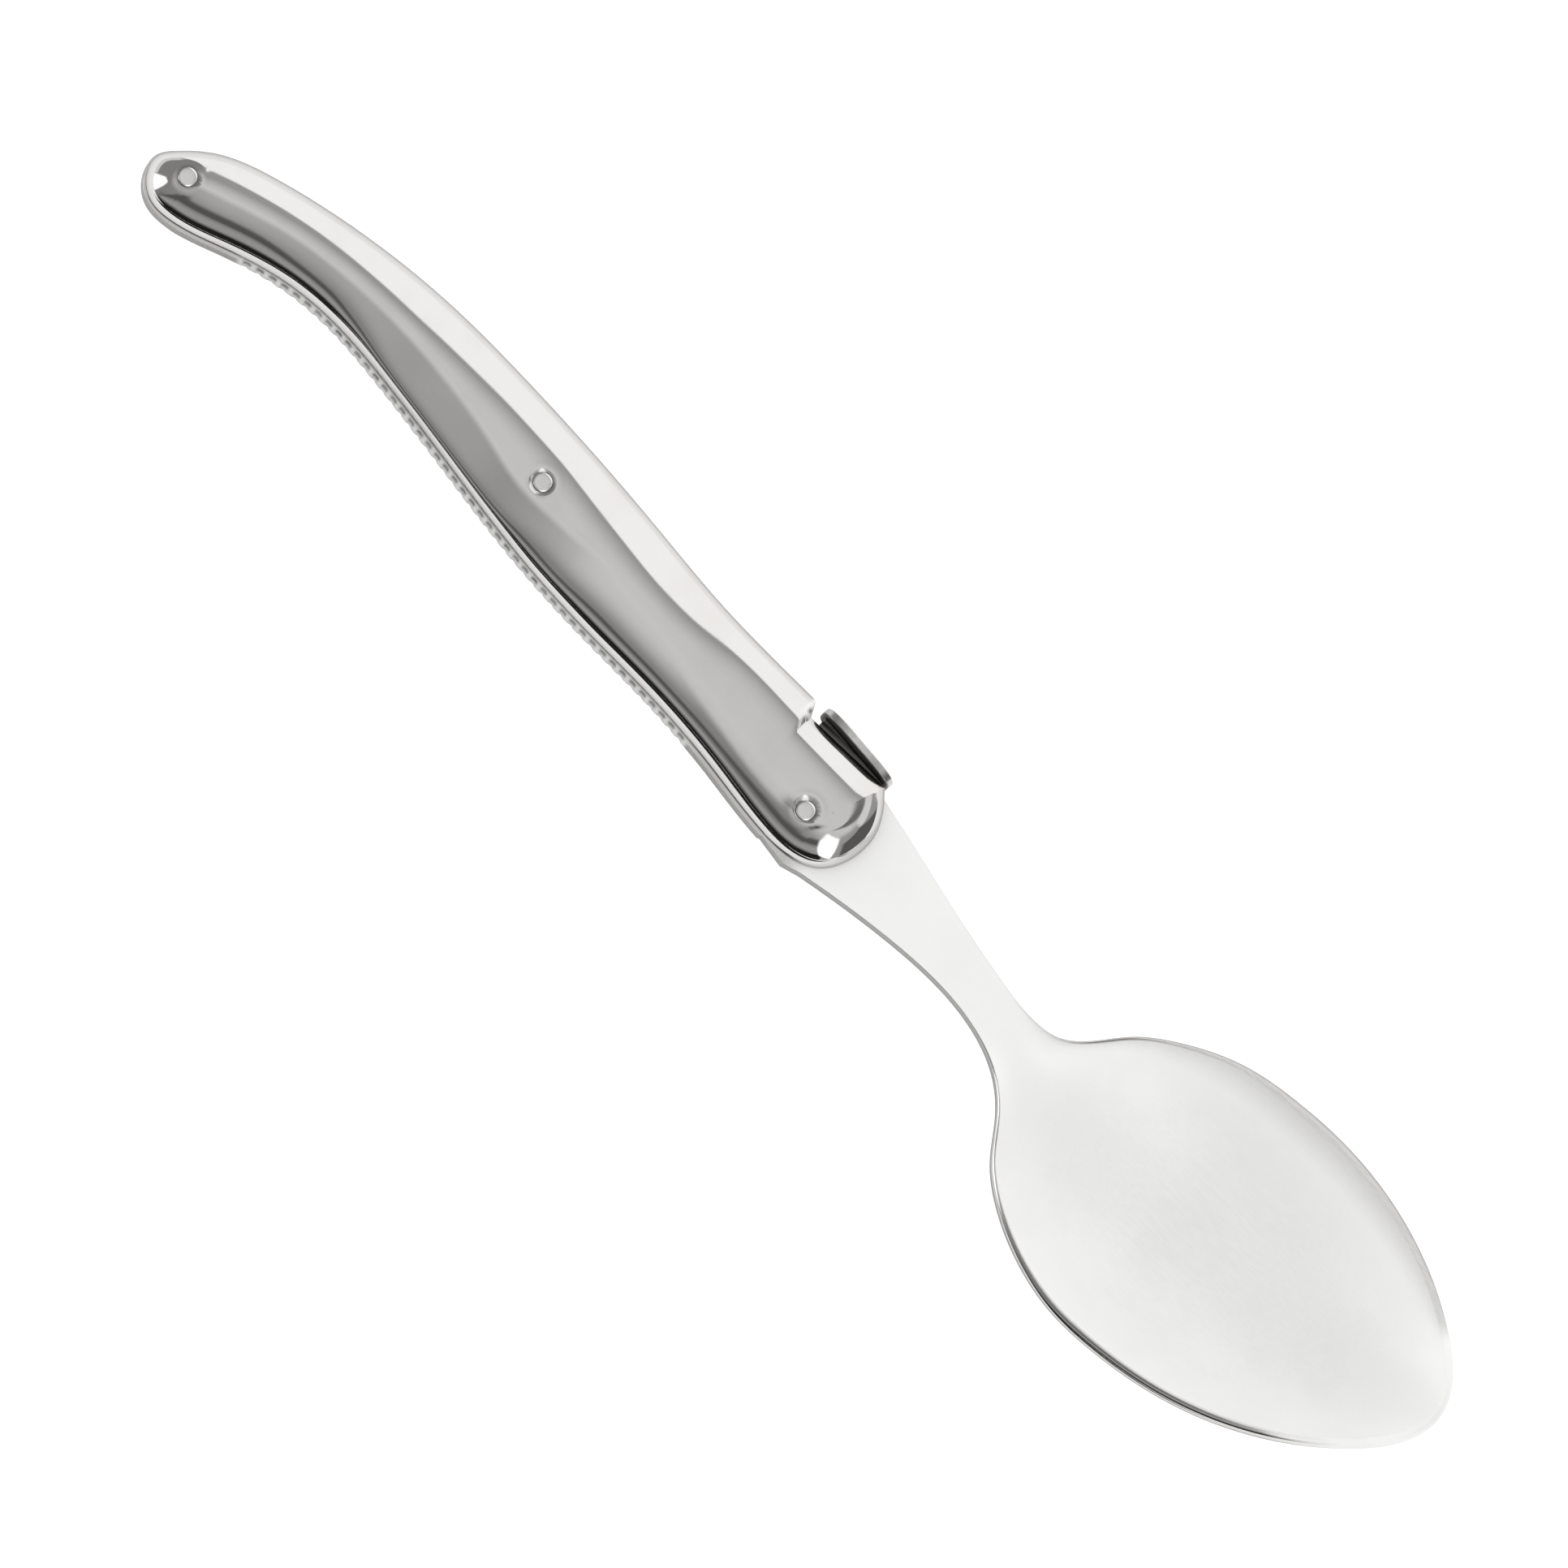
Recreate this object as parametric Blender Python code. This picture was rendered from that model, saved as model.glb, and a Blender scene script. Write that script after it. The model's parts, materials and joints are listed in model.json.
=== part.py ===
# Coffee spoon with a riveted two-shell steel handle.
#
# One stamped sheet runs from the bowl through the flat neck to the end of the
# handle. Two polished pillow-shaped shells clasp it, a strip of spring steel
# closes the back between them, and three rivets hold the stack together.
# X runs from the handle to the tip of the bowl, Y from the belly of the
# handle to its back, Z upwards. The layout is drawn in the plane of the sheet
# with the front rivet at X zero, then tilted until bowl and handle both rest.

import math

import bmesh
import bpy
import numpy as np
from mathutils import Matrix, Vector

for old in list(bpy.data.objects):
    bpy.data.objects.remove(old, do_unlink=True)

MM = 0.001

# Sheet of the blank and the gaps between neighbours
sheet = 2.0 * MM
seat_gap = 0.3 * MM
cut_overrun = 1.0 * MM
edge_break = 0.1 * MM

# Handle shells
handle_length = 90.5 * MM
handle_width = 11.2 * MM
shell_rise = 2.7 * MM
pillow_power = 3.0
notch_depth = 1.5 * MM
notch_run = 1.15 * MM

# Places are shares: along, of the handle length counted from the front rivet,
# and across, of the handle width counted from the sheet's centre line.
corner_share = 0.041
front_shares = (
    (0.0586, 0.406),
    (0.0686, 0.232),
    (0.0700, 0.054),
    (0.0641, -0.132),
    (0.0499, -0.292),
    (0.0280, -0.378),
)
belly_shares = (
    (-0.011, -0.402),
    (-0.100, -0.320),
    (-0.199, -0.262),
    (-0.298, -0.253),
    (-0.398, -0.201),
    (-0.508, -0.082),
    (-0.608, 0.025),
    (-0.685, 0.071),
    (-0.751, 0.020),
    (-0.818, -0.143),
    (-0.873, -0.286),
)
tail_shares = (
    (-0.904, -0.281),
    (-0.925, -0.143),
    (-0.930, 0.000),
    (-0.918, 0.168),
)
back_shares = (
    (-0.884, 0.398),
    (-0.829, 0.576),
    (-0.729, 0.761),
    (-0.619, 0.862),
    (-0.508, 0.865),
    (-0.398, 0.825),
    (-0.298, 0.759),
    (-0.210, 0.696),
    (-0.133, 0.679),
    (-0.075, 0.682),
)
crest_shares = (
    (-0.884, 0.050),
    (-0.773, 0.330),
    (-0.663, 0.446),
    (-0.552, 0.420),
    (-0.442, 0.344),
    (-0.331, 0.268),
    (-0.221, 0.223),
    (-0.110, 0.170),
    (-0.044, 0.116),
    (0.022, 0.085),
)

# Edge of the sheet inside the handle
tang_reveal = 0.38 * MM
file_pitch = 1.3 * MM
file_width = 0.55 * MM
file_depth = 0.2 * MM
file_start_share = -0.788
file_end_share = -0.135
file_shape_shares = ((-0.5, 0.0), (-0.25, 1.0), (0.25, 1.0), (0.5, 0.0))
heel_share = -0.014
heel_step = 0.12 * MM
nub_share = 0.022
nub_height = 0.24 * MM

# Neck, whose edges are shares of its length and of its width at the bolster
neck_length = 30.9 * MM
neck_width = 9.6 * MM
neck_back_shares = (
    (0.060, 0.655),
    (0.291, 0.493),
    (0.518, 0.323),
    (0.744, 0.177),
    (0.916, 0.114),
    (1.003, 0.160),
)
neck_belly_shares = (
    (1.036, -0.781),
    (0.955, -0.552),
    (0.841, -0.386),
    (0.647, -0.297),
    (0.453, -0.328),
    (0.259, -0.411),
    (0.074, -0.518),
)

# Bowl, symmetric about its own axis, which is turned a little in the sheet
bowl_length = 49.7 * MM
bowl_width = 30.0 * MM
bowl_depth = 7.5 * MM
bowl_drop = 4.2 * MM
bowl_turn = math.radians(6.3)
tip_lift = 2.0 * MM
rim_round = 0.55 * MM
bowl_shares = (
    (0.06, 0.470),
    (0.12, 0.667),
    (0.20, 0.832),
    (0.32, 0.970),
    (0.43, 1.000),
    (0.56, 0.973),
    (0.70, 0.860),
    (0.82, 0.678),
    (0.92, 0.444),
    (0.975, 0.245),
)
form_start_share = 0.80
deepest_share = 0.48
wall_power = 2.4
tip_power = 2.6

# Back spring between the shells, and the plate welded on its end
spring_height = 2.6 * MM
spring_inset = 0.1 * MM
spring_tail_share = -0.862
spring_front_share = 0.040
plate_length = 9.1 * MM
plate_width = 6.4 * MM
plate_thickness = 0.92 * MM
plate_crown = 0.14 * MM
plate_lift = 0.8 * MM
plate_pitch = math.radians(4.4)
plate_centre_share = -0.0065
plate_squareness = 4.0
pad_length = 8.0 * MM
plate_brink_share = 0.93
plate_dome_shares = (0.7, 0.4)

# Rivets
rivet_radius = 0.9 * MM
rivet_dome = 0.12 * MM
rivet_ring = 1.3 * MM
ring_depth = 0.15 * MM
rivet_head_shares = ((0.0, 1.0), (0.6, 0.7), (0.9, 0.0), (1.0, -1.0))
rivet_shares = (
    ("tail", -0.892, 0.031),
    ("middle", -0.421, 0.321),
    ("front", 0.001, -0.062),
)

# Fineness of the meshes
curve_steps = 1600
crest_stations = 34
fan_count = 18
pillow_rings = 9
bowl_rows = 38
bowl_columns = 18
rivet_sides = 28
plate_sides = 40
neck_count = 9
notch_count = 5
plain_count = 8


def placed(shares, length, width):
    """Points of an outline from their shares of a length and a width."""
    return [(along * length, across * width) for along, across in shares]


def smooth_curve(points, steps):
    """Natural cubic spline through the points, spaced evenly along the chord."""
    knots = np.array(points, dtype=float)
    spans = np.linalg.norm(np.diff(knots, axis=0), axis=1)
    reach = np.concatenate(([0.0], np.cumsum(spans)))
    size = len(knots)
    system = np.eye(size)
    bends = np.zeros_like(knots)
    for i in range(1, size - 1):
        system[i, i - 1] = spans[i - 1]
        system[i, i] = 2 * (spans[i - 1] + spans[i])
        system[i, i + 1] = spans[i]
        after = (knots[i + 1] - knots[i]) / spans[i]
        before = (knots[i] - knots[i - 1]) / spans[i - 1]
        bends[i] = 6 * (after - before)
    second = np.linalg.solve(system, bends)
    along = np.linspace(0.0, reach[-1], steps)
    part = np.clip(np.searchsorted(reach, along, side="right") - 1, 0, size - 2)
    span = spans[part][:, None]
    right = (along - reach[part])[:, None] / span
    left = 1 - right
    straight = left * knots[part] + right * knots[part + 1]
    bow = (left**3 - left) * second[part] + (right**3 - right) * second[part + 1]
    return straight + bow * span**2 / 6


def height_on(curve, x):
    """Y of a curve that runs one way along X."""
    ordered = curve if curve[0, 0] < curve[-1, 0] else curve[::-1]
    return float(np.interp(x, ordered[:, 0], ordered[:, 1]))


def evenly(curve, count):
    """Points at equal steps along a curve, without its two ends."""
    runs = np.linalg.norm(np.diff(curve, axis=0), axis=1)
    reach = np.concatenate(([0.0], np.cumsum(runs)))
    stops = np.linspace(0.0, reach[-1], count + 2)[1:-1]
    xs = np.interp(stops, reach, curve[:, 0])
    ys = np.interp(stops, reach, curve[:, 1])
    return list(zip(xs, ys))


def outward(points):
    """Unit vectors that point out of a loop drawn counter-clockwise."""
    ring = np.array(points)
    before = ring - np.roll(ring, 1, axis=0)
    after = np.roll(ring, -1, axis=0) - ring
    before /= np.linalg.norm(before, axis=1)[:, None]
    after /= np.linalg.norm(after, axis=1)[:, None]
    way = before + after
    way /= np.linalg.norm(way, axis=1)[:, None]
    return np.stack((way[:, 1], -way[:, 0]), axis=1)


def steel(name, colour, roughness):
    """Principled steel with its own tint and polish."""
    material = bpy.data.materials.new(name)
    material.use_nodes = True
    shader = material.node_tree.nodes["Principled BSDF"]
    shader.inputs["Base Color"].default_value = (*colour, 1.0)
    shader.inputs["Metallic"].default_value = 1.0
    shader.inputs["Roughness"].default_value = roughness
    material.diffuse_color = (*colour, 1.0)
    return material


def skin(bm, first, second):
    """Close the strip between two loops of the same length."""
    count = len(first)
    for i in range(count):
        j = (i + 1) % count
        corners = [first[i], first[j], second[j], second[i]]
        kept = list(dict.fromkeys(corners))
        if len(kept) > 2:
            bm.faces.new(kept)


def loop_of(bm, points):
    return [bm.verts.new(point) for point in points]


def finished(name, bm, material, crease=math.radians(32)):
    """Turn a bmesh into a smooth-shaded object with its true edges kept sharp."""
    bmesh.ops.recalc_face_normals(bm, faces=bm.faces)
    for face in bm.faces:
        face.smooth = True
    for edge in bm.edges:
        if edge.is_manifold and edge.calc_face_angle() > crease:
            edge.smooth = False
    mesh = bpy.data.meshes.new(name)
    bm.to_mesh(mesh)
    bm.free()
    part = bpy.data.objects.new(name, mesh)
    part.data.materials.append(material)
    bpy.context.collection.objects.link(part)
    return part


def turned(name, profile, sides, material):
    """Revolve a profile of radius and height pairs that ends on the axis."""
    bm = bmesh.new()
    rings = []
    for radius, height in profile:
        if radius == 0:
            rings.append([bm.verts.new((0, 0, height))] * sides)
            continue
        turn = [2 * math.pi * k / sides for k in range(sides)]
        rings.append(loop_of(bm, [(radius * math.cos(a), radius * math.sin(a), height) for a in turn]))
    for lower, upper in zip(rings, rings[1:]):
        skin(bm, lower, upper)
    return finished(name, bm, material)


def cut(part, cutter, name):
    """Subtract a cutter that stays in the file as a hidden wire shape."""
    cutter.hide_render = True
    cutter.display_type = "WIRE"
    bore = part.modifiers.new(name, "BOOLEAN")
    bore.operation = "DIFFERENCE"
    bore.solver = "EXACT"
    bore.object = cutter


# Outline of the handle: the front, the belly, round the tail and along the back
notch_at, back_top = placed(back_shares, handle_length, handle_width)[-1]
flat_height = back_top - notch_depth
corner = (corner_share * handle_length, flat_height)
outline_shares = front_shares + belly_shares + tail_shares + back_shares
outline = smooth_curve([corner] + placed(outline_shares, handle_length, handle_width), curve_steps)
nose = int(np.argmax(outline[:, 0]))
bolster_front = float(outline[nose, 0])
heel = int(np.argmin(outline[:, 0]))
belly_edge = outline[nose:heel + 1]
back_edge = outline[heel:]
crest = smooth_curve(placed(crest_shares, handle_length, handle_width), curve_steps)
rear_pole = crest[0]
front_pole = crest[-1]


def back_of_shell(x):
    """Back edge of a shell, with the notch that bares the spring's end."""
    if x <= notch_at:
        return height_on(back_edge, x)
    run = min((x - notch_at) / notch_run, 1.0)
    return flat_height + notch_depth * math.sqrt(1 - run * run)


def crown_at(x, y):
    """Height of the pillow above its foot over a point of the handle."""
    ridge = height_on(crest, x)
    edge = back_of_shell(x) if y > ridge else height_on(belly_edge, x)
    inward = (y - ridge) / (edge - ridge)
    return shell_rise * math.sqrt(1 - abs(inward)**pillow_power)


def shell_outline():
    """Edge points of a shell, counter-clockwise, each with its crest station."""
    xs = np.linspace(rear_pole[0], front_pole[0], crest_stations)
    stations = [(x, height_on(crest, x)) for x in xs]
    points = [((x, height_on(belly_edge, x)), k) for k, x in enumerate(xs)]
    low_front = outline[nose:][outline[nose:, 0] > front_pole[0]]
    arc = np.concatenate((outline[:nose], low_front))[::-1]
    last = crest_stations - 1
    points += [(point, last) for point in evenly(arc[arc[:, 1] < flat_height], fan_count)]
    points.append((corner, last))
    backs = [(x, back_of_shell(x)) for x in xs if abs(x - notch_at - notch_run / 2) > notch_run / 2]
    for k in range(1, notch_count + 1):
        turn = 0.5 * math.pi * k / notch_count
        backs.append((notch_at + notch_run * math.sin(turn), flat_height + notch_depth * math.cos(turn)))
    for point in sorted(backs, key=lambda point: -point[0]):
        points.append((point, int(np.argmin(abs(xs - point[0])))))
    early = back_edge[back_edge[:, 0] < rear_pole[0]]
    late = belly_edge[belly_edge[:, 0] < rear_pole[0]]
    tail = np.concatenate((late, early))[::-1]
    points += [(point, 0) for point in evenly(tail, fan_count)]
    return points, stations


def build_shell(name, side, material):
    """Pillow that rises from its outline to the crest line, then flat inside."""
    points, stations = shell_outline()
    bm = bmesh.new()
    rings = []
    for k in range(pillow_rings):
        turn = 0.5 * math.pi * k / pillow_rings
        inward = 1 - math.cos(turn) ** (2 / pillow_power)
        height = shell_rise * math.sin(turn)
        ring = []
        for (x, y), station in points:
            toward = stations[station]
            ring.append((x + (toward[0] - x) * inward, y + (toward[1] - y) * inward, side * height))
        rings.append(loop_of(bm, ring))
    ridge = loop_of(bm, [(x, y, side * shell_rise) for x, y in stations])
    rings.append([ridge[station] for _, station in points])
    for lower, upper in zip(rings, rings[1:]):
        skin(bm, lower, upper)
    bm.faces.new(rings[0])
    shell = finished(name, bm, material)
    shell.location.z = side * (sheet / 2 + seat_gap)
    return shell


polished = (0.79, 0.78, 0.77)
satin = (0.86, 0.86, 0.86)
upper_shell = build_shell("upper_shell", 1, steel("polished_shell_upper", polished, 0.08))
lower_shell = build_shell("lower_shell", -1, steel("polished_shell_lower", polished, 0.08))

# Back spring: a strip along the inside of the back edge, with a pad for the plate
spring_tail = spring_tail_share * handle_length
spring_front = spring_front_share * handle_length
plate_centre = plate_centre_share * handle_length
plate_seat = flat_height + plate_lift


def spring_inner(x):
    """Inner edge of the spring, which the sheet follows."""
    if x > notch_at:
        return back_top - spring_inset - spring_height
    return height_on(back_edge, x) - spring_inset - spring_height


def seat_line(x):
    """Underside of the plate, pitched down towards the bowl."""
    return plate_seat - (x - plate_centre) * math.tan(plate_pitch)


def build_spring(material):
    low_flat = flat_height - spring_inset
    pad_rear = plate_centre - pad_length / 2
    pad_front = plate_centre + pad_length / 2
    xs = np.linspace(spring_tail, notch_at, crest_stations)
    inner = [(x, spring_inner(x)) for x in xs] + [(spring_front, spring_inner(spring_front))]
    pad = [(pad_front, seat_line(pad_front) - seat_gap), (pad_rear, seat_line(pad_rear) - seat_gap)]
    front = [(spring_front, low_flat), (pad_front, low_flat)]
    saddle = [(pad_rear, low_flat), (notch_at + notch_run, low_flat)]
    outer = [(x, height_on(back_edge, x) - spring_inset) for x in xs[::-1]]
    loop = inner + front + pad + saddle + outer
    bm = bmesh.new()
    rings = [loop_of(bm, [(x, y, z) for x, y in loop]) for z in (-sheet / 2, sheet / 2)]
    skin(bm, *rings)
    bm.faces.new(rings[0])
    bm.faces.new(rings[1])
    return finished("back_spring", bm, material)


back_spring = build_spring(steel("spring_steel", polished, 0.2))


def build_plate(material):
    """Domed plate with soft corners, drawn flat and stood across the spring."""
    bm = bmesh.new()
    brink = plate_thickness - plate_crown
    steps = [(plate_brink_share, 0), (1, edge_break), (1, brink - edge_break), (plate_brink_share, brink)]
    steps += [(share, brink + plate_crown * (1 - share**2)) for share in plate_dome_shares]
    rings = []
    for share, height in steps:
        ring = []
        for k in range(plate_sides):
            turn = 2 * math.pi * k / plate_sides
            along = abs(math.cos(turn)) ** (2 / plate_squareness) * math.copysign(1, math.cos(turn))
            across = abs(math.sin(turn)) ** (2 / plate_squareness) * math.copysign(1, math.sin(turn))
            ring.append((share * along * plate_length / 2, share * across * plate_width / 2, height))
        rings.append(loop_of(bm, ring))
    for lower, upper in zip(rings, rings[1:]):
        skin(bm, lower, upper)
    bm.faces.new(rings[0])
    bm.faces.new(rings[-1])
    plate = finished("spring_plate", bm, material)
    plate.rotation_euler = Matrix(((1, 0, 0), (0, 0, 1), (0, -1, 0))).to_euler()
    plate.rotation_euler.rotate(Matrix.Rotation(-plate_pitch, 3, "Z"))
    plate.location = (plate_centre, plate_seat, 0)
    return plate


spring_plate = build_plate(steel("plate_steel", polished, 0.15))


def blank_side_curves():
    """Edges of the neck and the bowl: the back side and the belly side."""
    axis = Vector((math.cos(bowl_turn), math.sin(bowl_turn)))
    across = Vector((-axis.y, axis.x))
    root = Vector((neck_length, -bowl_drop))
    back = [root + axis * (s * bowl_length) + across * (w * bowl_width / 2) for s, w in bowl_shares]
    belly = [root + axis * (s * bowl_length) - across * (w * bowl_width / 2) for s, w in bowl_shares]
    tip = root + axis * bowl_length
    knots = placed(neck_back_shares, neck_length, neck_width) + [tuple(p) for p in back]
    knots += [tuple(tip)] + [tuple(p) for p in belly[::-1]]
    knots += placed(neck_belly_shares, neck_length, neck_width)
    whole = smooth_curve(knots, curve_steps)
    turn = int(np.argmax(whole[:, 0]))
    return whole[:turn + 1], whole[turn:]


bowl_back, bowl_belly = blank_side_curves()
bowl_tip = bowl_back[-1]
form_start = form_start_share * neck_length
form_length = bowl_tip[0] - form_start


def rim_height(x):
    """Height of the sheet's centre at its edge, lifted towards the tip."""
    return tip_lift * max((x - form_start) / form_length, 0.0) ** 2


def drawn_depth(x, across):
    """How far the bowl is pressed down at a station and a share across it."""
    share = (x - form_start) / form_length
    if share < deepest_share:
        gone = max(1 - share / deepest_share, 0.0)
        lengthwise = (1 - gone**2) ** 2
    else:
        lengthwise = 1 - ((share - deepest_share) / (1 - deepest_share)) ** tip_power
    return bowl_depth * lengthwise * (1 - abs(across) ** wall_power)


def edge_round(x):
    """Rounding of the sheet's edge: crisp on the neck, full on the bowl's rim."""
    share = min(max((x - form_start) / (deepest_share * form_length), 0.0), 1.0)
    return edge_break + (rim_round - edge_break) * share


def tang_loop():
    """Edge of the sheet inside the handle, from the neck's back to its belly."""
    step_at = spring_front + seat_gap
    loop = [(step_at, height_on(bowl_back, step_at)), (step_at, spring_inner(spring_front) - seat_gap)]
    xs = np.linspace(notch_at, spring_tail - seat_gap, crest_stations)
    loop += [(x, spring_inner(x) - seat_gap) for x in xs]
    early = back_edge[back_edge[:, 0] < xs[-1]]
    late = belly_edge[belly_edge[:, 0] < xs[-1]]
    tail = evenly(np.concatenate((late, early))[::-1], fan_count)
    tail = [(xs[-1], height_on(back_edge, xs[-1]))] + tail + [(xs[-1], height_on(belly_edge, xs[-1]))]
    ahead = xs[-1] + spring_height
    around = [(ahead, height_on(back_edge, ahead))] + tail + [(ahead, height_on(belly_edge, ahead))]
    normals = outward(around)[1:-1]
    for k, point in enumerate(tail):
        share = k / (len(tail) - 1)
        grow = share * tang_reveal - (1 - share) * spring_inset
        loop.append((point[0] + normals[k][0] * grow, point[1] + normals[k][1] * grow))
    first_cut = file_start_share * handle_length
    filed = (file_end_share - file_start_share) * handle_length
    cuts = [first_cut + k * file_pitch for k in range(1 + int(filed / file_pitch))]
    plain = list(np.linspace(xs[-1], cuts[0], plain_count)[1:-1])
    plain += list(np.linspace(cuts[-1], heel_share * handle_length, plain_count)[1:])
    edge = [(x, 0.0) for x in plain]
    edge += [(x + a * file_width, b * file_depth) for x in cuts for a, b in file_shape_shares]
    for x, sunk in sorted(edge):
        loop.append((x, height_on(belly_edge, x) - tang_reveal + sunk))
    loop.append((loop[-1][0] + heel_step, loop[-1][1] + heel_step))
    nub = nub_share * handle_length
    loop.append((nub, height_on(bowl_belly, nub) - nub_height))
    return loop


def build_blank(material):
    """Sheet with a notched tang, a flat neck and a drawn bowl in one piece."""
    tang = tang_loop()
    neck = [spring_front + seat_gap] + list(np.linspace(bolster_front + seat_gap, form_start, neck_count))
    formed = bowl_back[bowl_back[:, 0] > form_start]
    rows = [form_start] + [x for x, _ in evenly(formed, bowl_rows - 1)]
    belly_side = [(x, height_on(bowl_belly, x)) for x in neck[:-1] + rows]
    back_side = [(x, height_on(bowl_back, x)) for x in rows[::-1] + neck[-2:0:-1]]
    loop = tang + belly_side + [tuple(bowl_tip)] + back_side
    bare_from = len(tang) + 1
    first_row = len(tang) + len(neck) - 1
    tip_at = first_row + bowl_rows
    normals = outward(loop)
    bm = bmesh.new()

    def edge_ring(turn, top):
        ring = []
        for (x, y), (nx, ny) in zip(loop, normals):
            soft = edge_round(x)
            inset = soft * (1 - math.sin(turn))
            drop = sheet / 2 - soft * (1 - math.cos(turn))
            ring.append((x - nx * inset, y - ny * inset, rim_height(x) + top * drop))
        return loop_of(bm, ring)

    turns = (0.0, math.radians(45), math.radians(90))
    upper = [edge_ring(turn, 1) for turn in turns]
    under = [edge_ring(turn, -1) for turn in turns]
    rings = upper + under[::-1]
    for one, other in zip(rings, rings[1:]):
        skin(bm, one, other)

    for inner, top in ((upper[0], 1), (under[0], -1)):
        grid = []
        for k in range(bowl_rows):
            low = inner[first_row + k]
            high = inner[2 * tip_at - first_row - k]
            row = [low]
            for c in range(1, bowl_columns):
                across = math.sin(0.5 * math.pi * (2 * c / bowl_columns - 1))
                spot = low.co.lerp(high.co, (1 + across) / 2)
                spot.z = rim_height(spot.x) + top * sheet / 2 - drawn_depth(rows[k], across)
                row.append(bm.verts.new(spot))
            grid.append(row + [high])
        for one, other in zip(grid, grid[1:]):
            for c in range(bowl_columns):
                bm.faces.new((one[c], one[c + 1], other[c + 1], other[c]))
        point = inner[tip_at]
        for c in range(bowl_columns):
            bm.faces.new((grid[-1][c], grid[-1][c + 1], point))
        bm.faces.new([inner[-1]] + inner[:bare_from + 1])
        bare_neck = inner[2 * tip_at - first_row:] + inner[bare_from:first_row]
        bm.faces.new(bare_neck + grid[0][:-1])
    return finished("spoon_blank", bm, material)


spoon_blank = build_blank(steel("satin_blank", satin, 0.28))

# Rivets, with a clearance hole and a countersunk ring in each shell
cutter_steel = steel("cutter_steel", polished, 0.5)
bore = rivet_radius + seat_gap
spread = (rivet_ring - bore) / ring_depth
for place, along_share, across_share in rivet_shares:
    at = Vector((along_share * handle_length, across_share * handle_width, 0))
    crown = sheet / 2 + seat_gap + crown_at(at.x, at.y)
    top = [(out * rivet_radius, crown + rise * rivet_dome) for out, rise in rivet_head_shares]
    profile = [(radius, -height) for radius, height in top] + top[::-1]
    rivet = turned(place + "_rivet", profile, rivet_sides, steel(place + "_rivet_steel", polished, 0.12))
    rivet.location = at
    above = crown + cut_overrun
    wide = bore + spread * (ring_depth + cut_overrun)
    sink = [(0, 0), (bore, 0), (bore, crown - ring_depth), (wide, above), (0, above)]
    for shell, side in ((upper_shell, 1), (lower_shell, -1)):
        faced = [(radius, side * height) for radius, height in sink]
        cutter = turned(place + "_sink_" + shell.name, faced, rivet_sides, cutter_steel)
        cutter.location = at - shell.location
        cutter.parent = shell
        cut(shell, cutter, place + "_rivet_hole")
    drill = [(0, -sheet), (bore, -sheet), (bore, sheet), (0, sheet)]
    cutter = turned(place + "_drill", drill, rivet_sides, cutter_steel)
    cutter.location = at
    cutter.parent = spoon_blank
    cut(spoon_blank, cutter, place + "_rivet_hole")

# Everything hangs on one empty, tilted until the bowl and the handle both rest
spoon = bpy.data.objects.new("coffee_spoon", None)
bpy.context.collection.objects.link(spoon)
solids = [part for part in bpy.data.objects if part.type == "MESH" and not part.hide_render]
for part in solids:
    part.parent = spoon
corners = np.array([(part.matrix_basis @ vertex.co)[:] for part in solids for vertex in part.data.vertices])
bowl_side = corners[corners[:, 0] > neck_length]
tail_side = corners[corners[:, 0] < 0]


def lowest(points, tilt):
    return float(np.min(points[:, 2] * math.cos(tilt) - points[:, 0] * math.sin(tilt)))


least = -math.radians(20)
most = math.radians(20)
for _ in range(60):
    middle = (least + most) / 2
    if lowest(tail_side, middle) > lowest(bowl_side, middle):
        most = middle
    else:
        least = middle
spoon.rotation_euler.y = least
turned_corners = corners @ np.array(Matrix.Rotation(least, 3, "Y")).T
low = turned_corners.min(axis=0)
high = turned_corners.max(axis=0)
spoon.location = (-(low[0] + high[0]) / 2, -(low[1] + high[1]) / 2, -low[2])
bpy.context.view_layer.update()
print("coffee spoon built, overall size in mm:", np.round((high - low) / MM, 2))
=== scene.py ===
# %% [markdown]
# # A coffee spoon with a riveted steel handle
#
# The spoon is one stamped sheet with two polished shells clasped round its tail end, a strip of
# spring steel between them, a small plate at the bolster and three rivets. The solids come packed,
# at their real size. This lesson lays a fine skin over each of them and gives every piece the
# finish that its maker left: mirror polish, satin, or a rubbed edge.

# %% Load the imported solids
import json
import math
from functools import partial

import bmesh
import bpy
import numpy as np
from mathutils import Matrix, Vector
from mathutils.bvhtree import BVHTree
from mathutils.geometry import delaunay_2d_cdt


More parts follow.
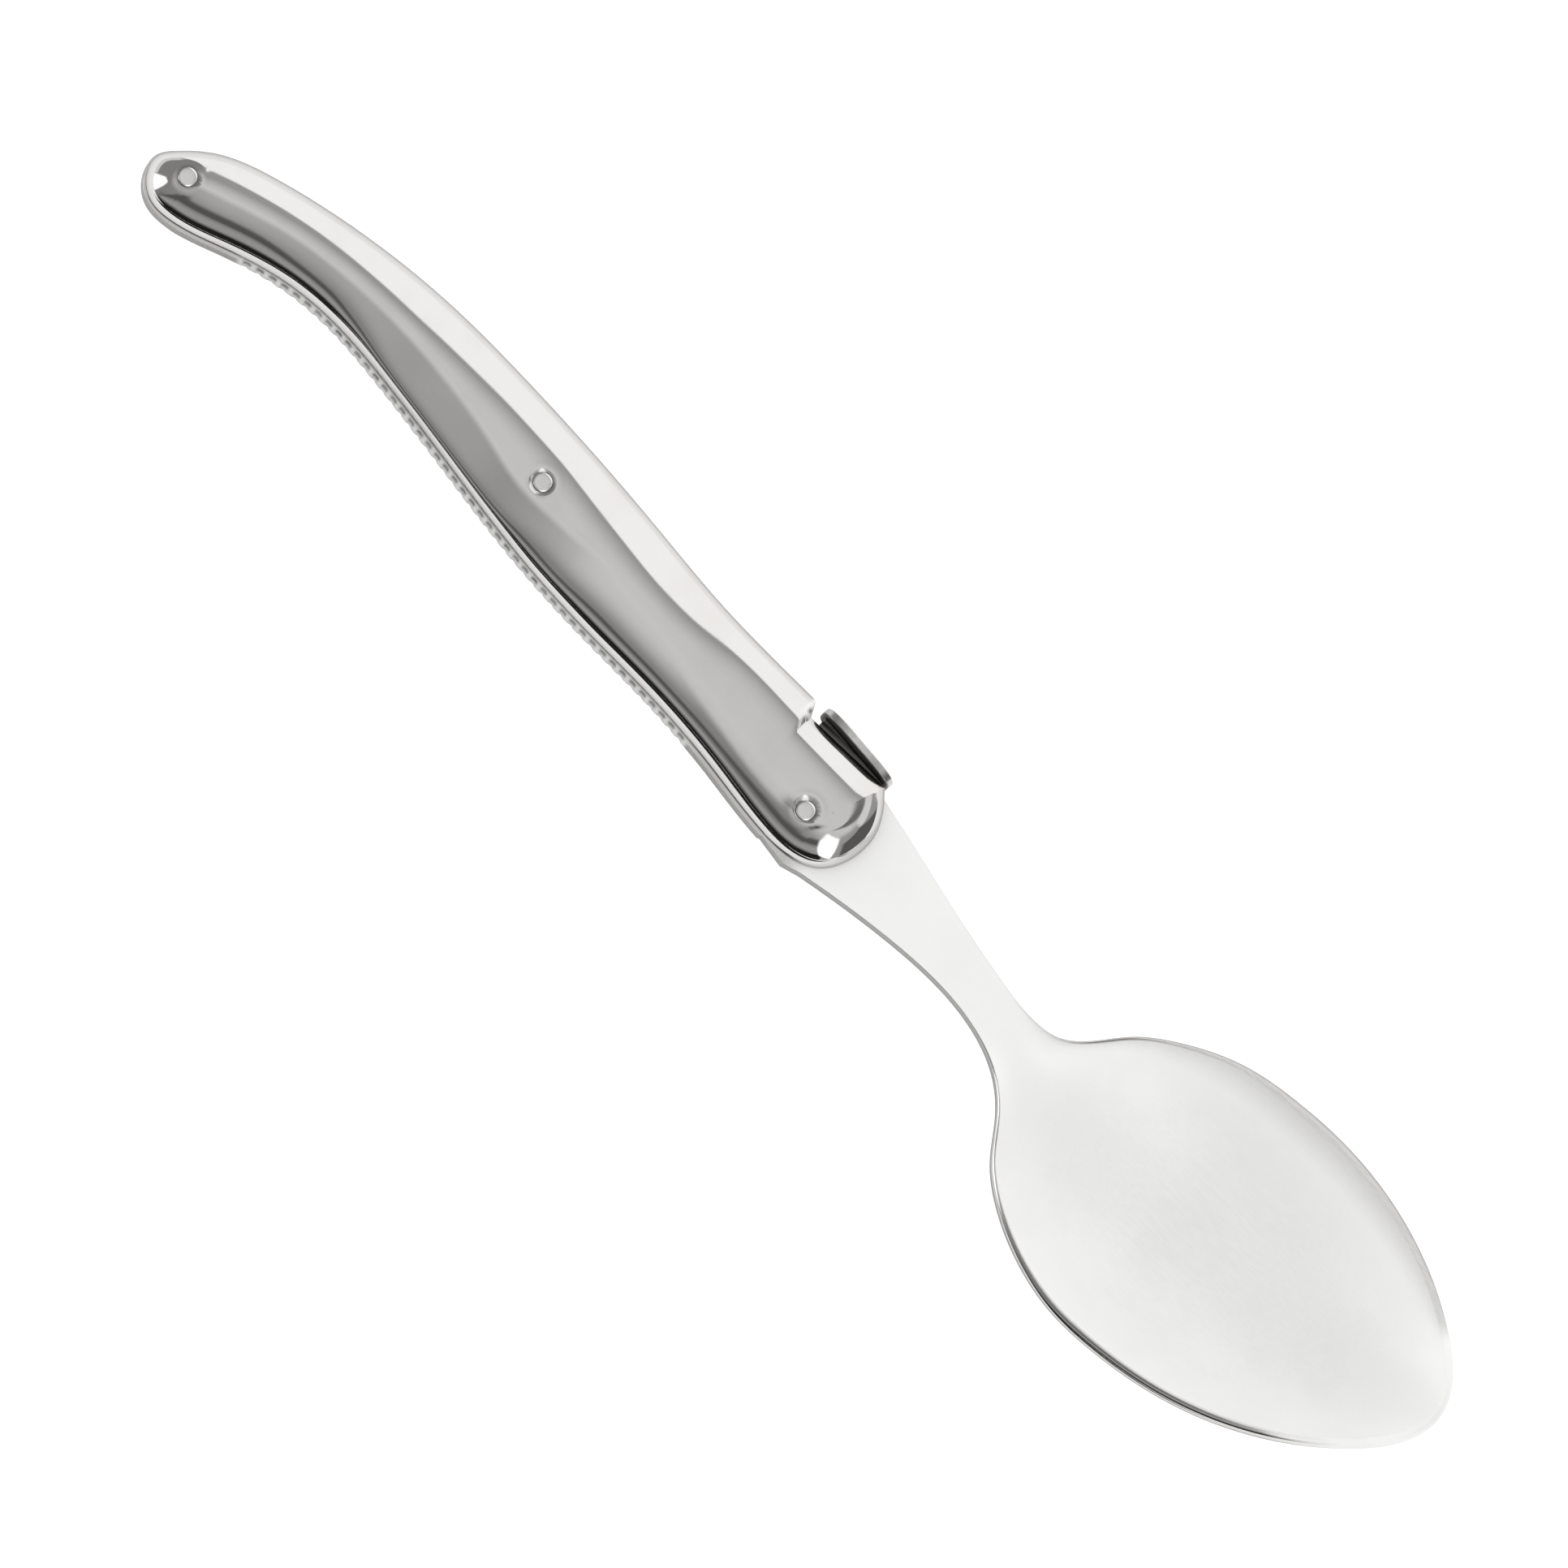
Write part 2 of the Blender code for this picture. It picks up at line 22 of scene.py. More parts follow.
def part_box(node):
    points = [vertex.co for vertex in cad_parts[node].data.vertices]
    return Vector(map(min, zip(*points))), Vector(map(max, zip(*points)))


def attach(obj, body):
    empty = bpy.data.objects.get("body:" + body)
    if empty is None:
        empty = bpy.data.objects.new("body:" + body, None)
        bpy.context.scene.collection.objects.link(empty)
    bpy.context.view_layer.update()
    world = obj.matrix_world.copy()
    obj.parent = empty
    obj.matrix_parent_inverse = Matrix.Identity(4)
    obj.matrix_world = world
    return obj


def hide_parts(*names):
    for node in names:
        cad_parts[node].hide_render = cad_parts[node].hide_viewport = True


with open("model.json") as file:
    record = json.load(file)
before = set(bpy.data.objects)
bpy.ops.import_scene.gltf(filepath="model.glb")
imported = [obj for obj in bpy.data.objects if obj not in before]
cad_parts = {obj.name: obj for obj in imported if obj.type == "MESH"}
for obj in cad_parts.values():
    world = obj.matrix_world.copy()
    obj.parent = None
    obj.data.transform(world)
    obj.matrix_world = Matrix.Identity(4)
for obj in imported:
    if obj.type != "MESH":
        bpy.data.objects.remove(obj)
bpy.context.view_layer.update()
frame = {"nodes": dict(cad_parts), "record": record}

print("solids in the frame:", sorted(frame["nodes"]))

# %% [markdown]
# ## Where the sheet lies
#
# The spoon rests on its bowl and on the end of its handle, so the sheet isn't level. The record
# holds the direction of the neck's flat face, and the front rivet runs straight through the sheet.
# Those two give the sheet's own frame: X along the spoon, Y from belly to back, Z out of the sheet.
# Every shape below is drawn in that frame and then carried to its place, as the solids were.

# %% The sheet's own frame
MM = 0.001
sheet_normal = Vector(frame["record"]["mounts"][0]["axis"]).normalized()
sheet_tilt = math.atan2(sheet_normal.x, sheet_normal.z)

handle_length = 90.5 * MM
handle_width = 11.2 * MM
rivet_shares = {
    "tail": (-0.892, 0.031),
    "middle": (-0.421, 0.321),
    "front": (0.001, -0.062),
}
rivet_spots = {place: (a * handle_length, b * handle_width) for place, (a, b) in rivet_shares.items()}
rivet_low, rivet_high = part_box("front_rivet")
tilt = Matrix.Rotation(sheet_tilt, 4, "Y")
sheet_origin = (rivet_low + rivet_high) / 2 - tilt @ Vector((*rivet_spots["front"], 0))
to_world = Matrix.Translation(sheet_origin) @ tilt
print("sheet tilted", round(math.degrees(sheet_tilt), 2), "degrees")
print("its origin in mm:", [round(c / MM, 2) for c in sheet_origin])

# %% [markdown]
# ## Sizes that the skins follow
#
# These are the sizes of the solids, written as the maker would: lengths in millimetres, and
# outlines as shares of the handle's, the neck's or the bowl's own length and width.

# %% Sizes of the handle
sheet = 2.0 * MM
seat_gap = 0.3 * MM
seam = 0.02 * MM
shell_rise = 2.7 * MM
notch_depth = 1.5 * MM
flat_rise = 0.3 * MM
notch_run = 1.3 * MM
notch_ease = 1.6
corner_share = 0.041
front_shares = (
    (0.0586, 0.406), (0.0686, 0.232), (0.0700, 0.054), (0.0641, -0.132), (0.0499, -0.292),
    (0.0280, -0.378),
)
belly_shares = (
    (-0.011, -0.402), (-0.100, -0.320), (-0.199, -0.262), (-0.298, -0.253), (-0.398, -0.201),
    (-0.508, -0.082), (-0.608, 0.025), (-0.685, 0.071), (-0.751, 0.020), (-0.818, -0.143),
    (-0.873, -0.286),
)
tail_shares = (
    (-0.904, -0.281), (-0.925, -0.143), (-0.930, 0.000), (-0.918, 0.168),
)
back_shares = (
    (-0.884, 0.398), (-0.829, 0.576), (-0.729, 0.761), (-0.619, 0.862), (-0.508, 0.865),
    (-0.398, 0.825), (-0.298, 0.759), (-0.210, 0.696), (-0.133, 0.679), (-0.075, 0.682),
)
crest_shares = (
    (-0.884, 0.050), (-0.773, 0.330), (-0.663, 0.446), (-0.552, 0.420), (-0.442, 0.344),
    (-0.331, 0.268), (-0.221, 0.223), (-0.110, 0.170), (-0.044, 0.116), (0.022, 0.085),
)

# %% [markdown]
# The section of a shell changes along the handle. Towards the tail its belly side has a narrow flat
# crown, a soft fold, and then nearly a flat facet that turns down in a tight round. Towards the
# bolster both sides are full pillows. Each row gives a place along the handle, where the fold lies
# between crest and edge, how far the facet falls by the edge, and how full the round is. The back
# side has no fold, so its rows give only the place and the fullness. In a mirror finish these few
# tenths of a millimetre place every band of light.

# %% Sections of a shell
belly_sections = (
    (-0.884, 0.08, 0.28, 3.7),
    (-0.780, 0.08, 0.27, 3.8),
    (-0.740, 0.12, 0.26, 4.6),
    (-0.685, 0.15, 0.25, 4.5),
    (-0.640, 0.15, 0.31, 9.0),
    (-0.610, 0.15, 0.35, 18.0),
    (-0.540, 0.18, 0.35, 20.0),
    (-0.490, 0.25, 0.36, 20.0),
    (-0.450, 0.35, 0.39, 19.0),
    (-0.420, 0.35, 0.36, 14.0),
    (-0.385, 0.26, 0.34, 8.0),
    (-0.350, 0.20, 0.25, 6.0),
    (-0.320, 0.10, 0.10, 4.4),
    (-0.280, 0.20, 0.01, 3.4),
    (-0.220, 0.30, 0.02, 3.8),
    (-0.155, 0.50, 0.13, 4.8),
    (-0.088, 0.61, 0.19, 4.9),
    (-0.044, 0.60, 0.20, 4.6),
    (0.000, 0.50, 0.16, 4.1),
    (0.022, 0.40, 0.12, 3.9),
)
back_fullness = (
    (-0.884, 2.3), (-0.800, 2.35), (-0.750, 2.3), (-0.685, 2.1), (-0.620, 2.05), (-0.550, 2.4),
    (-0.490, 2.8), (-0.420, 2.95), (-0.350, 2.5), (-0.270, 2.2), (-0.220, 2.4), (-0.188, 2.8),
    (-0.155, 3.9), (-0.120, 4.4), (0.022, 4.0),
)
back_sections = [(along, 0.0, 0.0, fullness) for along, fullness in back_fullness]
fold_ease = 0.06

# %% Sizes of the sheet's edge, the neck and the bowl
edge_break = 0.1 * MM
tang_break = 0.05 * MM
tang_reveal = 0.38 * MM
file_pitch = 1.3 * MM
file_width = 1.1 * MM
file_depth = 0.12 * MM
file_start_share = -0.788
file_end_share = -0.135
heel_share = -0.014
heel_step = 0.12 * MM
nub_share = 0.022
nub_height = 0.24 * MM
neck_length = 30.9 * MM
neck_width = 9.6 * MM
neck_back_shares = (
    (0.060, 0.655), (0.291, 0.493), (0.518, 0.323), (0.744, 0.177), (0.916, 0.114),
    (1.003, 0.160),
)
neck_belly_shares = (
    (1.036, -0.781), (0.955, -0.552), (0.841, -0.386), (0.647, -0.297), (0.453, -0.328),
    (0.259, -0.411), (0.074, -0.518),
)
bowl_length = 49.7 * MM
bowl_width = 30.0 * MM
bowl_depth = 7.5 * MM
bowl_drop = 4.2 * MM
bowl_turn = math.radians(6.3)
tip_lift = 2.0 * MM
rim_round = 0.85 * MM
bowl_shares = (
    (0.06, 0.470), (0.12, 0.667), (0.20, 0.832), (0.32, 0.970), (0.43, 1.000), (0.56, 0.973),
    (0.70, 0.860), (0.82, 0.678), (0.92, 0.444), (0.975, 0.245),
)
form_start_share = 0.80
deepest_share = 0.48
wall_power = 2.4
tip_power = 2.6

# %% Sizes of the spring, the plate and the rivets
spring_height = 2.6 * MM
spring_inset = 0.1 * MM
spring_tail_share = -0.862
spring_front_share = 0.040
plate_length = 9.1 * MM
plate_width = 6.4 * MM
plate_thickness = 0.92 * MM
plate_crown = 0.14 * MM
plate_lift = 0.8 * MM
plate_pitch = math.radians(4.4)
plate_centre_share = -0.0065
plate_squareness = 4.0
pad_length = 8.0 * MM
rivet_radius = 0.9 * MM
rivet_dome = 0.12 * MM

# %% [markdown]
# ## Curves
#
# A spline through a few chosen points gives each outline its flow. The points could also be handles
# of a Bezier curve, but a natural spline needs only the places that the edge passes through.

# %% Curve helpers
curve_steps = 6000


def placed(shares, length, width):
    """Points of an outline from their shares of a length and a width."""
    return [(along * length, across * width) for along, across in shares]


def smooth_curve(points):
    """Natural cubic spline through the points, spaced evenly along the chord."""
    knots = np.array(points, dtype=float)
    spans = np.linalg.norm(np.diff(knots, axis=0), axis=1)
    reach = np.concatenate(([0.0], np.cumsum(spans)))
    size = len(knots)
    system = np.eye(size)
    bends = np.zeros_like(knots)
    for i in range(1, size - 1):
        system[i, i - 1] = spans[i - 1]
        system[i, i] = 2 * (spans[i - 1] + spans[i])
        system[i, i + 1] = spans[i]
        after = (knots[i + 1] - knots[i]) / spans[i]
        before = (knots[i] - knots[i - 1]) / spans[i - 1]
        bends[i] = 6 * (after - before)
    second = np.linalg.solve(system, bends)
    along = np.linspace(0.0, reach[-1], curve_steps)
    part = np.clip(np.searchsorted(reach, along, side="right") - 1, 0, size - 2)
    span = spans[part][:, None]
    right = (along - reach[part])[:, None] / span
    left = 1 - right
    straight = left * knots[part] + right * knots[part + 1]
    bow = (left**3 - left) * second[part] + (right**3 - right) * second[part + 1]
    return straight + bow * span**2 / 6


def height_on(curve, x):
    """Y of a curve that runs one way along X, at one place or at many."""
    ordered = curve if curve[0, 0] < curve[-1, 0] else curve[::-1]
    return np.interp(x, ordered[:, 0], ordered[:, 1])


def on_curve(curve, xs):
    """Points of a curve at places along X."""
    return np.stack((xs, height_on(curve, xs)), axis=1)


def along_run(x, start, run):
    """Share of a run that a place has passed: 0 before its start, 1 past its end."""
    return np.clip((x - start) / run, 0.0, 1.0)


def at_height(plan, height):
    """Ring of points over a plan, all at one height or each at its own."""
    return np.column_stack((plan, np.full(len(plan), height)))


def circle(sides):
    """Points evenly round a circle of radius one."""
    turn = 2 * np.pi * np.arange(sides) / sides
    return np.stack((np.cos(turn), np.sin(turn)), axis=1)


def evenly(curve, count):
    """Points at equal steps along a curve, without its two ends."""
    runs = np.linalg.norm(np.diff(curve, axis=0), axis=1)
    reach = np.concatenate(([0.0], np.cumsum(runs)))
    stops = np.linspace(0.0, reach[-1], count + 2)[1:-1]
    return np.stack([np.interp(stops, reach, curve[:, axis]) for axis in (0, 1)], axis=1)


def outward(points):
    """Unit vectors that point out of a loop drawn counter-clockwise."""
    ring = np.array(points)
    before = ring - np.roll(ring, 1, axis=0)
    after = np.roll(ring, -1, axis=0) - ring
    before /= np.linalg.norm(before, axis=1)[:, None]
    after /= np.linalg.norm(after, axis=1)[:, None]
    way = before + after
    way /= np.linalg.norm(way, axis=1)[:, None]
    return np.stack((way[:, 1], -way[:, 0]), axis=1)


# %% The handle's outline and the crest of its shells
notch_at, back_top = placed(back_shares, handle_length, handle_width)[-1]
flat_height = back_top - notch_depth
corner = (corner_share * handle_length, flat_height + flat_rise)
outline_shares = front_shares + belly_shares + tail_shares + back_shares
outline = smooth_curve([corner] + placed(outline_shares, handle_length, handle_width))
nose = int(np.argmax(outline[:, 0]))
heel = int(np.argmin(outline[:, 0]))
belly_edge = outline[nose:heel + 1]
back_edge = outline[heel:]
crest = smooth_curve(placed(crest_shares, handle_length, handle_width))
print("handle outline from", np.round(outline.min(axis=0) / MM, 2), "mm")
print("to", np.round(outline.max(axis=0) / MM, 2), "mm")


def back_of_shell(xs):
    """Back edge of a shell, with the notch that bares the spring's end."""
    run = along_run(xs, notch_at, notch_run)
    left = 0.5 + 0.5 * np.cos(np.pi * run**notch_ease)
    climb = flat_rise * along_run(xs, notch_at, corner[0] - notch_at)
    notched = flat_height + notch_depth * left + climb * (1 - left)
    return np.where(xs <= notch_at, height_on(back_edge, xs), notched)


# %% [markdown]
# ## From points to a mesh
#
# All skins are lofts: rings of points with a strip of faces between each pair. One function builds
# them, so that the points of a ring that fall together, as on a ridge or at a pole, become one.

# %% Loft and finish helpers
crease = math.radians(32)
closest = 1e-7


def strip(bm, one, other):
    """Faces all round between two rings, with triangles or none where their points are the same."""
    for i in range(len(one)):
        j = (i + 1) % len(one)
        kept = list(dict.fromkeys((one[i], one[j], other[j], other[i])))
        if len(kept) > 2 and not bm.faces.get(kept):
            bm.faces.new(kept)


def loft(name, rings, caps=()):
    """Skin over rings of equal length, with a face on each ring that is named as a cap."""
    bm = bmesh.new()
    seen = {}

    def vertex(point):
        """The vertex at a point, made only once."""
        key = tuple(np.round(np.asarray(point) / closest).astype(int))
        if key not in seen:
            seen[key] = bm.verts.new(point)
        return seen[key]

    loops = [[vertex(point) for point in ring] for ring in rings]
    for one, other in zip(loops, loops[1:]):
        strip(bm, one, other)
    for index in caps:
        bm.faces.new(list(dict.fromkeys(loops[index])))
    return settled(name, bm)


def mark_creases(bm):
    """Shade every edge smooth but the true ones."""
    for edge in bm.edges:
        edge.smooth = not (edge.is_manifold and edge.calc_face_angle() > crease)


def settled(name, bm):
    """Object with outward faces, smooth but for its true edges, drawn in the sheet's frame."""
    bmesh.ops.recalc_face_normals(bm, faces=bm.faces)
    for face in bm.faces:
        face.smooth = True
    mark_creases(bm)
    mesh = bpy.data.meshes.new(name)
    bm.to_mesh(mesh)
    bm.free()
    piece = bpy.data.objects.new(name, mesh)
    bpy.context.scene.collection.objects.link(piece)
    return piece


def seated(piece, node, slot, **marks):
    """Carry a piece from the sheet's frame to its place and let it stand for its solid."""
    drawn = np.array([v.co for v in piece.data.vertices])
    for mark, rule in marks.items():
        shares = np.clip(rule(*drawn.T), 0.0, 1.0)
        piece.data.attributes.new(mark, "FLOAT", "POINT").data.foreach_set("value", shares)
    piece.data.transform(to_world)
    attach(piece, "root")
    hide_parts(node)
    low, high = (np.array(corner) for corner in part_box(node))
    points = np.array([v.co for v in piece.data.vertices])
    inside = np.clip(points, low, high)
    piece.data.vertices.foreach_set("co", inside.ravel())
    piece.data.update()
    proud = np.abs(points - inside).max()
    print(f"{piece.name}: {len(piece.data.polygons)} faces, {proud / MM:.4f} mm trimmed to its solid's box")


# %% [markdown]
# ## Bores
#
# The rivets pass through both shells and the sheet. On the real handle the holes are drilled and
# then countersunk, and the rivet is hammered until its head fills most of the cone. A Boolean cuts
# them into the shells, while the sheet is flat and can be drawn round its holes. A Boolean leaves
# long faces round each hole, which would ripple in a mirror finish, so the smooth normals of the
# uncut shell are copied back onto the part of the skin that the cut left.

# %% Turned pieces and bores
turned_sides = 96
skin_reach = 0.002 * MM
skin_likeness = 0.97


def turned(name, profile):
    """Revolve a profile of radius and height pairs that starts and ends on the axis."""
    return loft(name, [at_height(radius * circle(turned_sides), height) for radius, height in profile])


def barycentric(spot, corners):
    """Shares of a triangle's corners in a point on it."""
    a, b, c = corners
    whole = (b - a).cross(c - a)
    size = whole.length_squared
    if size == 0:
        return (1.0, 0.0, 0.0)
    at_b = (c - a).cross(a - spot).dot(whole) / size
    at_c = (a - b).cross(a - spot).dot(whole) / size
    return (1 - at_b - at_c, at_b, at_c)


def bored(piece, cutters):
    """Cut the bores, keeping the polish of the uncut skin."""
    uncut = bmesh.new()
    uncut.from_mesh(piece.data)
    bmesh.ops.triangulate(uncut, faces=uncut.faces)
    uncut.verts.ensure_lookup_table()
    uncut.faces.ensure_lookup_table()
    tree = BVHTree.FromBMesh(uncut)
    for cutter in cutters:
        bore = piece.modifiers.new(cutter.name, "BOOLEAN")
        bore.operation = "DIFFERENCE"
        bore.solver = "EXACT"
        bore.object = cutter
    depsgraph = bpy.context.evaluated_depsgraph_get()
    cut = bpy.data.meshes.new_from_object(piece.evaluated_get(depsgraph))
    piece.modifiers.clear()
    piece.data = cut
    bm = bmesh.new()
    bm.from_mesh(cut)
    mark_creases(bm)
    bm.to_mesh(cut)
    bm.free()
    own = [Vector(corner.vector) for corner in cut.corner_normals]
    for face in cut.polygons:
        for k in face.loop_indices:
            point = cut.vertices[cut.loops[k].vertex_index].co
            spot, normal, index, distance = tree.find_nearest(point)
            if distance < skin_reach and normal.dot(face.normal) > skin_likeness:
                verts = uncut.faces[index].verts
                shares = barycentric(spot, [v.co for v in verts])
                own[k] = sum((v.normal * s for v, s in zip(verts, shares)), Vector()).normalized()
    cut.normals_split_custom_set(own)
    uncut.free()
    for cutter in cutters:
        bpy.data.objects.remove(cutter, do_unlink=True)


# %% [markdown]
# ## The two handle shells
#
# Each half of the handle is a pillow of steel, pressed or ground, and then polished to a mirror. A
# mirror shows every ripple of its mesh, so the skin is lofted in columns from the outline to the
# crest line, and its height over the foot follows one superellipse. A subdivision surface over a
# few hand-placed faces would be quicker, but its reflections wander where faces meet.

# %% Columns of a shell
stations = 520
end_fans = 90
notch_fans = 44
blend_run = 2.5 * MM
blend_spread = 1.1
blend_samples = 9


def round_the_tail(x):
    """Even points round the tail of the handle, from its back to its belly, past a place along it."""
    late = belly_edge[belly_edge[:, 0] < x]
    early = back_edge[back_edge[:, 0] < x]
    return evenly(np.concatenate((late, early))[::-1], end_fans)


def shell_columns():
    """Edge points of a shell, counter-clockwise, with the crest point and the section of each."""
    tail_pole, front_pole = crest[0], crest[-1]
    round_the_notch = np.linspace(notch_at, notch_at + notch_run, notch_fans)
    xs = np.linspace(tail_pole[0], front_pole[0], stations)
    xs = np.unique(np.concatenate((xs, round_the_notch)))
    ridge, belly = on_curve(crest, xs), on_curve(belly_edge, xs)
    back = np.stack((xs, back_of_shell(xs)), axis=1)[::-1]
    low_front = outline[nose:][outline[nose:, 0] > front_pole[0]]
    arc = np.concatenate((outline[:nose], low_front))[::-1]
    front = np.vstack((evenly(arc[arc[:, 1] < corner[1]], end_fans), corner))
    tail = round_the_tail(tail_pole[0])
    edge = np.vstack((belly, front, back, tail))
    over_front = np.tile(ridge[-1], (len(front), 1))
    over_tail = np.tile(ridge[0], (len(tail), 1))
    above = np.vstack((ridge, over_front, ridge[::-1], over_tail))
    below = section_at(belly_sections, xs)
    behind = section_at(back_sections, xs)[::-1]
    round_front = np.linspace(below[-1], behind[0], len(front))
    round_tail = np.linspace(behind[-1], below[0], len(tail))
    return edge, above, np.vstack((below, round_front, behind, round_tail))


def section_at(sections, xs):
    """Fold, fall and fullness of one side at places along the handle, eased between the rows."""
    table = np.array(sections)
    near = np.linspace(-blend_run, blend_run, blend_samples)
    weight = np.cos(0.5 * np.pi * near / (blend_spread * blend_run))
    spots = (np.asarray(xs)[..., None] + near) / handle_length
    read = [np.interp(spots, table[:, 0], table[:, k]) for k in (1, 2, 3)]
    return np.stack([np.average(part, axis=-1, weights=weight) for part in read], axis=-1)


def pillow(share, section):
    """Share of the rise that is left at a share of the way from the crest to the edge."""
    fold, fall, fullness = np.moveaxis(section, -1, 0)
    past = np.clip(share - fold + fold_ease, 0.0, 2 * fold_ease) ** 2 / (4 * fold_ease)
    past = past + np.maximum(share - fold - fold_ease, 0.0)
    return (1 - fall * past / (1 - fold)) * np.sqrt(np.maximum(1 - share**fullness, 0.0))


def crown_over(x, y):
    """Height of the pillow above its foot over a point of the handle."""
    ridge = height_on(crest, x)
    on_back = y > ridge
    edge = back_of_shell(np.array(x)) if on_back else height_on(belly_edge, x)
    section = section_at(back_sections if on_back else belly_sections, x)
    return float(shell_rise * pillow(abs((y - ridge) / (edge - ridge)), section))


# %% [markdown]
# Hammering a rivet dishes the metal round its head by a few hundredths of a millimetre. It can
# hardly be felt, but in a mirror finish it bends the reflections into the small dark patches that
# show round each rivet.

# %% Dents round the rivets
dent_depths = {"tail": 0.06 * MM, "middle": 0.03 * MM, "front": 0.06 * MM}
dent_reach = 1.2 * MM
ridge_radius = 1.55 * MM
ridge_width = 0.35 * MM
ridge_share = 0.3


def dent(points):
    """How far the shell's skin is dished at points of its plan, less the ridge pushed up round it."""
    sunk = np.zeros(len(points))
    for place, spot in rivet_spots.items():
        away = np.hypot(*(points - spot).T)
        dish = np.exp(-((away / dent_reach) ** 2))
        ridge = np.exp(-(((away - ridge_radius) / ridge_width) ** 2))
        sunk += dent_depths[place] * (dish - ridge_share * ridge)
    return sunk


def crown_at(place):
    """Height of a shell's skin over the middle of the sheet, at a rivet."""
    return sheet / 2 + seat_gap + crown_over(*rivet_spots[place]) - dent_depths[place]


# %% Build a shell
pillow_rings = 60
foot_break = 0.05 * MM
bore_radius = rivet_radius + 0.035 * MM
sink_radius = 1.22 * MM
sink_depth = 0.09 * MM
clear = 1.0 * MM


def shell_skin(name, side):
    """Fine skin of one shell: a small land at the foot, the pillow, and bores for the rivets."""
    edge, above, sections = shell_columns()
    inward_way = above - edge
    inward_way /= np.linalg.norm(inward_way, axis=1)[:, None]
    land = sheet / 2 + seat_gap
    seat = sheet / 2 + seam
    rings = [at_height(edge + inward_way * foot_break, side * seat)]
    rings.append(at_height(edge, side * (seat + foot_break)))
    for inward in np.linspace(0, 1, pillow_rings + 1) ** 2:
        plan = edge + (above - edge) * inward
        left = pillow(1 - inward, sections)
        rings.append(at_height(plan, side * (land + (shell_rise - dent(plan)) * left)))
    shell = loft(name, rings, caps=(0,))
    wide = sink_radius + (sink_radius - bore_radius) * clear / sink_depth
    cutters = []
    for place, spot in rivet_spots.items():
        top = crown_at(place)
        hole = [(0, 0), (bore_radius, 0), (bore_radius, top - sink_depth)]
        hole += [(wide, top + clear), (0, top + clear)]
        cutter = turned(place + "_bore", [(r, side * z) for r, z in hole])
        cutter.data.transform(Matrix.Translation((*spot, 0)))
        cutters.append(cutter)
    bored(shell, cutters)
    return shell


# %% [markdown]
# The polishing wheel can't reach the wall of the notch, which keeps the satin of the file. Shade is
# painted dark into the colour at the foot of each countersink, and in a few dark patches that stand
# in for dark reflections and shade by the front rivet and in the notch. A patch is a turned
# ellipse, given from the front rivet: right, up, long and high in millimetres, its turn in degrees,
# and its depth.

# %% Marks on the shells
# Painted shade at the foot of each countersink, and painted dark patches in place of dark reflections and
# shade.
sink_painted_shade = 0.5
painted_dark_patches = (
    (-1.50, -0.62, 0.70, 0.55, 0, 0.65),
    (1.68, -0.50, 0.65, 0.18, 50, 1.2),
    (-6.14, 6.99, 0.24, 0.30, 0, 0.9),
)
filed_fade = 0.3 * notch_run
filed_from = flat_height - 0.6 * notch_depth
filed_full = flat_height - 0.2 * notch_depth


def painted_shade_round_rivets(x, y, z):
    """Painted shade at the foot of each countersink, and the painted dark patches."""
    away = [np.hypot(x - spot_x, y - spot_y) for spot_x, spot_y in rivet_spots.values()]
    black = sink_painted_shade * (1 - along_run(np.min(away, axis=0), bore_radius, sink_radius - bore_radius))
    front_x, front_y = rivet_spots["front"]
    for right, up, long, high, turn, depth in painted_dark_patches:
        cos, sin = math.cos(math.radians(turn)), math.sin(math.radians(turn))
        east, north = (x - front_x) / MM - right, (y - front_y) / MM - up
        off = (east * cos + north * sin) ** 2 / long**2 + (north * cos - east * sin) ** 2 / high**2
        black = black + depth * np.exp(-off)
    return black


def filed_notch(x, y, z):
    """Share of the file's satin on the wall of the notch."""
    along = along_run(x, notch_at, filed_fade) * (1 - along_run(x, notch_at + notch_run, filed_fade))
    return along * along_run(y, filed_from, filed_full - filed_from)


for which, side in (("upper", 1), ("lower", -1)):
    shell = shell_skin("handle_shell_" + which, side)
    seated(shell, which + "_shell", "polished_shell_" + which, soot=painted_shade_round_rivets, satin=filed_notch)


# %% [markdown]
# ## The stamped sheet
#
# Bowl, neck and tang are one piece of steel. Its outline is blanked, its edges are broken on a belt,
# the bowl is pressed between a punch and a die, and the rim is rounded over. The skin is built the
# same way: one outline, a rounded edge all round it, flat faces on the neck and the tang, and a
# grid over the bowl that is pushed down to the depth of the press.

# %% Outline of the neck and the bowl


def blank_side_curves():
    """Edges of the neck and the bowl: the back side and the belly side."""
    axis = Vector((math.cos(bowl_turn), math.sin(bowl_turn)))
    across = Vector((-axis.y, axis.x))
    root = Vector((neck_length, -bowl_drop))

    def side_of_bowl(side):
        """Edge of the bowl to one side of its middle line."""
        wide = side * bowl_width / 2
        return [tuple(root + axis * (s * bowl_length) + across * (w * wide)) for s, w in bowl_shares]

    back, belly = side_of_bowl(1), side_of_bowl(-1)
    tip = tuple(root + axis * bowl_length)
    neck_back = placed(neck_back_shares, neck_length, neck_width)
    neck_belly = placed(neck_belly_shares, neck_length, neck_width)
    whole = smooth_curve(neck_back + back + [tip] + belly[::-1] + neck_belly)
    turn = int(np.argmax(whole[:, 0]))
    return whole[:turn + 1], whole[turn:]


bowl_back, bowl_belly = blank_side_curves()
bowl_tip = bowl_back[-1]
form_start = form_start_share * neck_length
form_length = bowl_tip[0] - form_start
print("bowl tip at", np.round(bowl_tip / MM, 2), "mm")


def rim_height(x):
    """Height of the sheet's centre at its edge, lifted towards the tip."""
    return tip_lift * np.maximum((x - form_start) / form_length, 0.0) ** 2


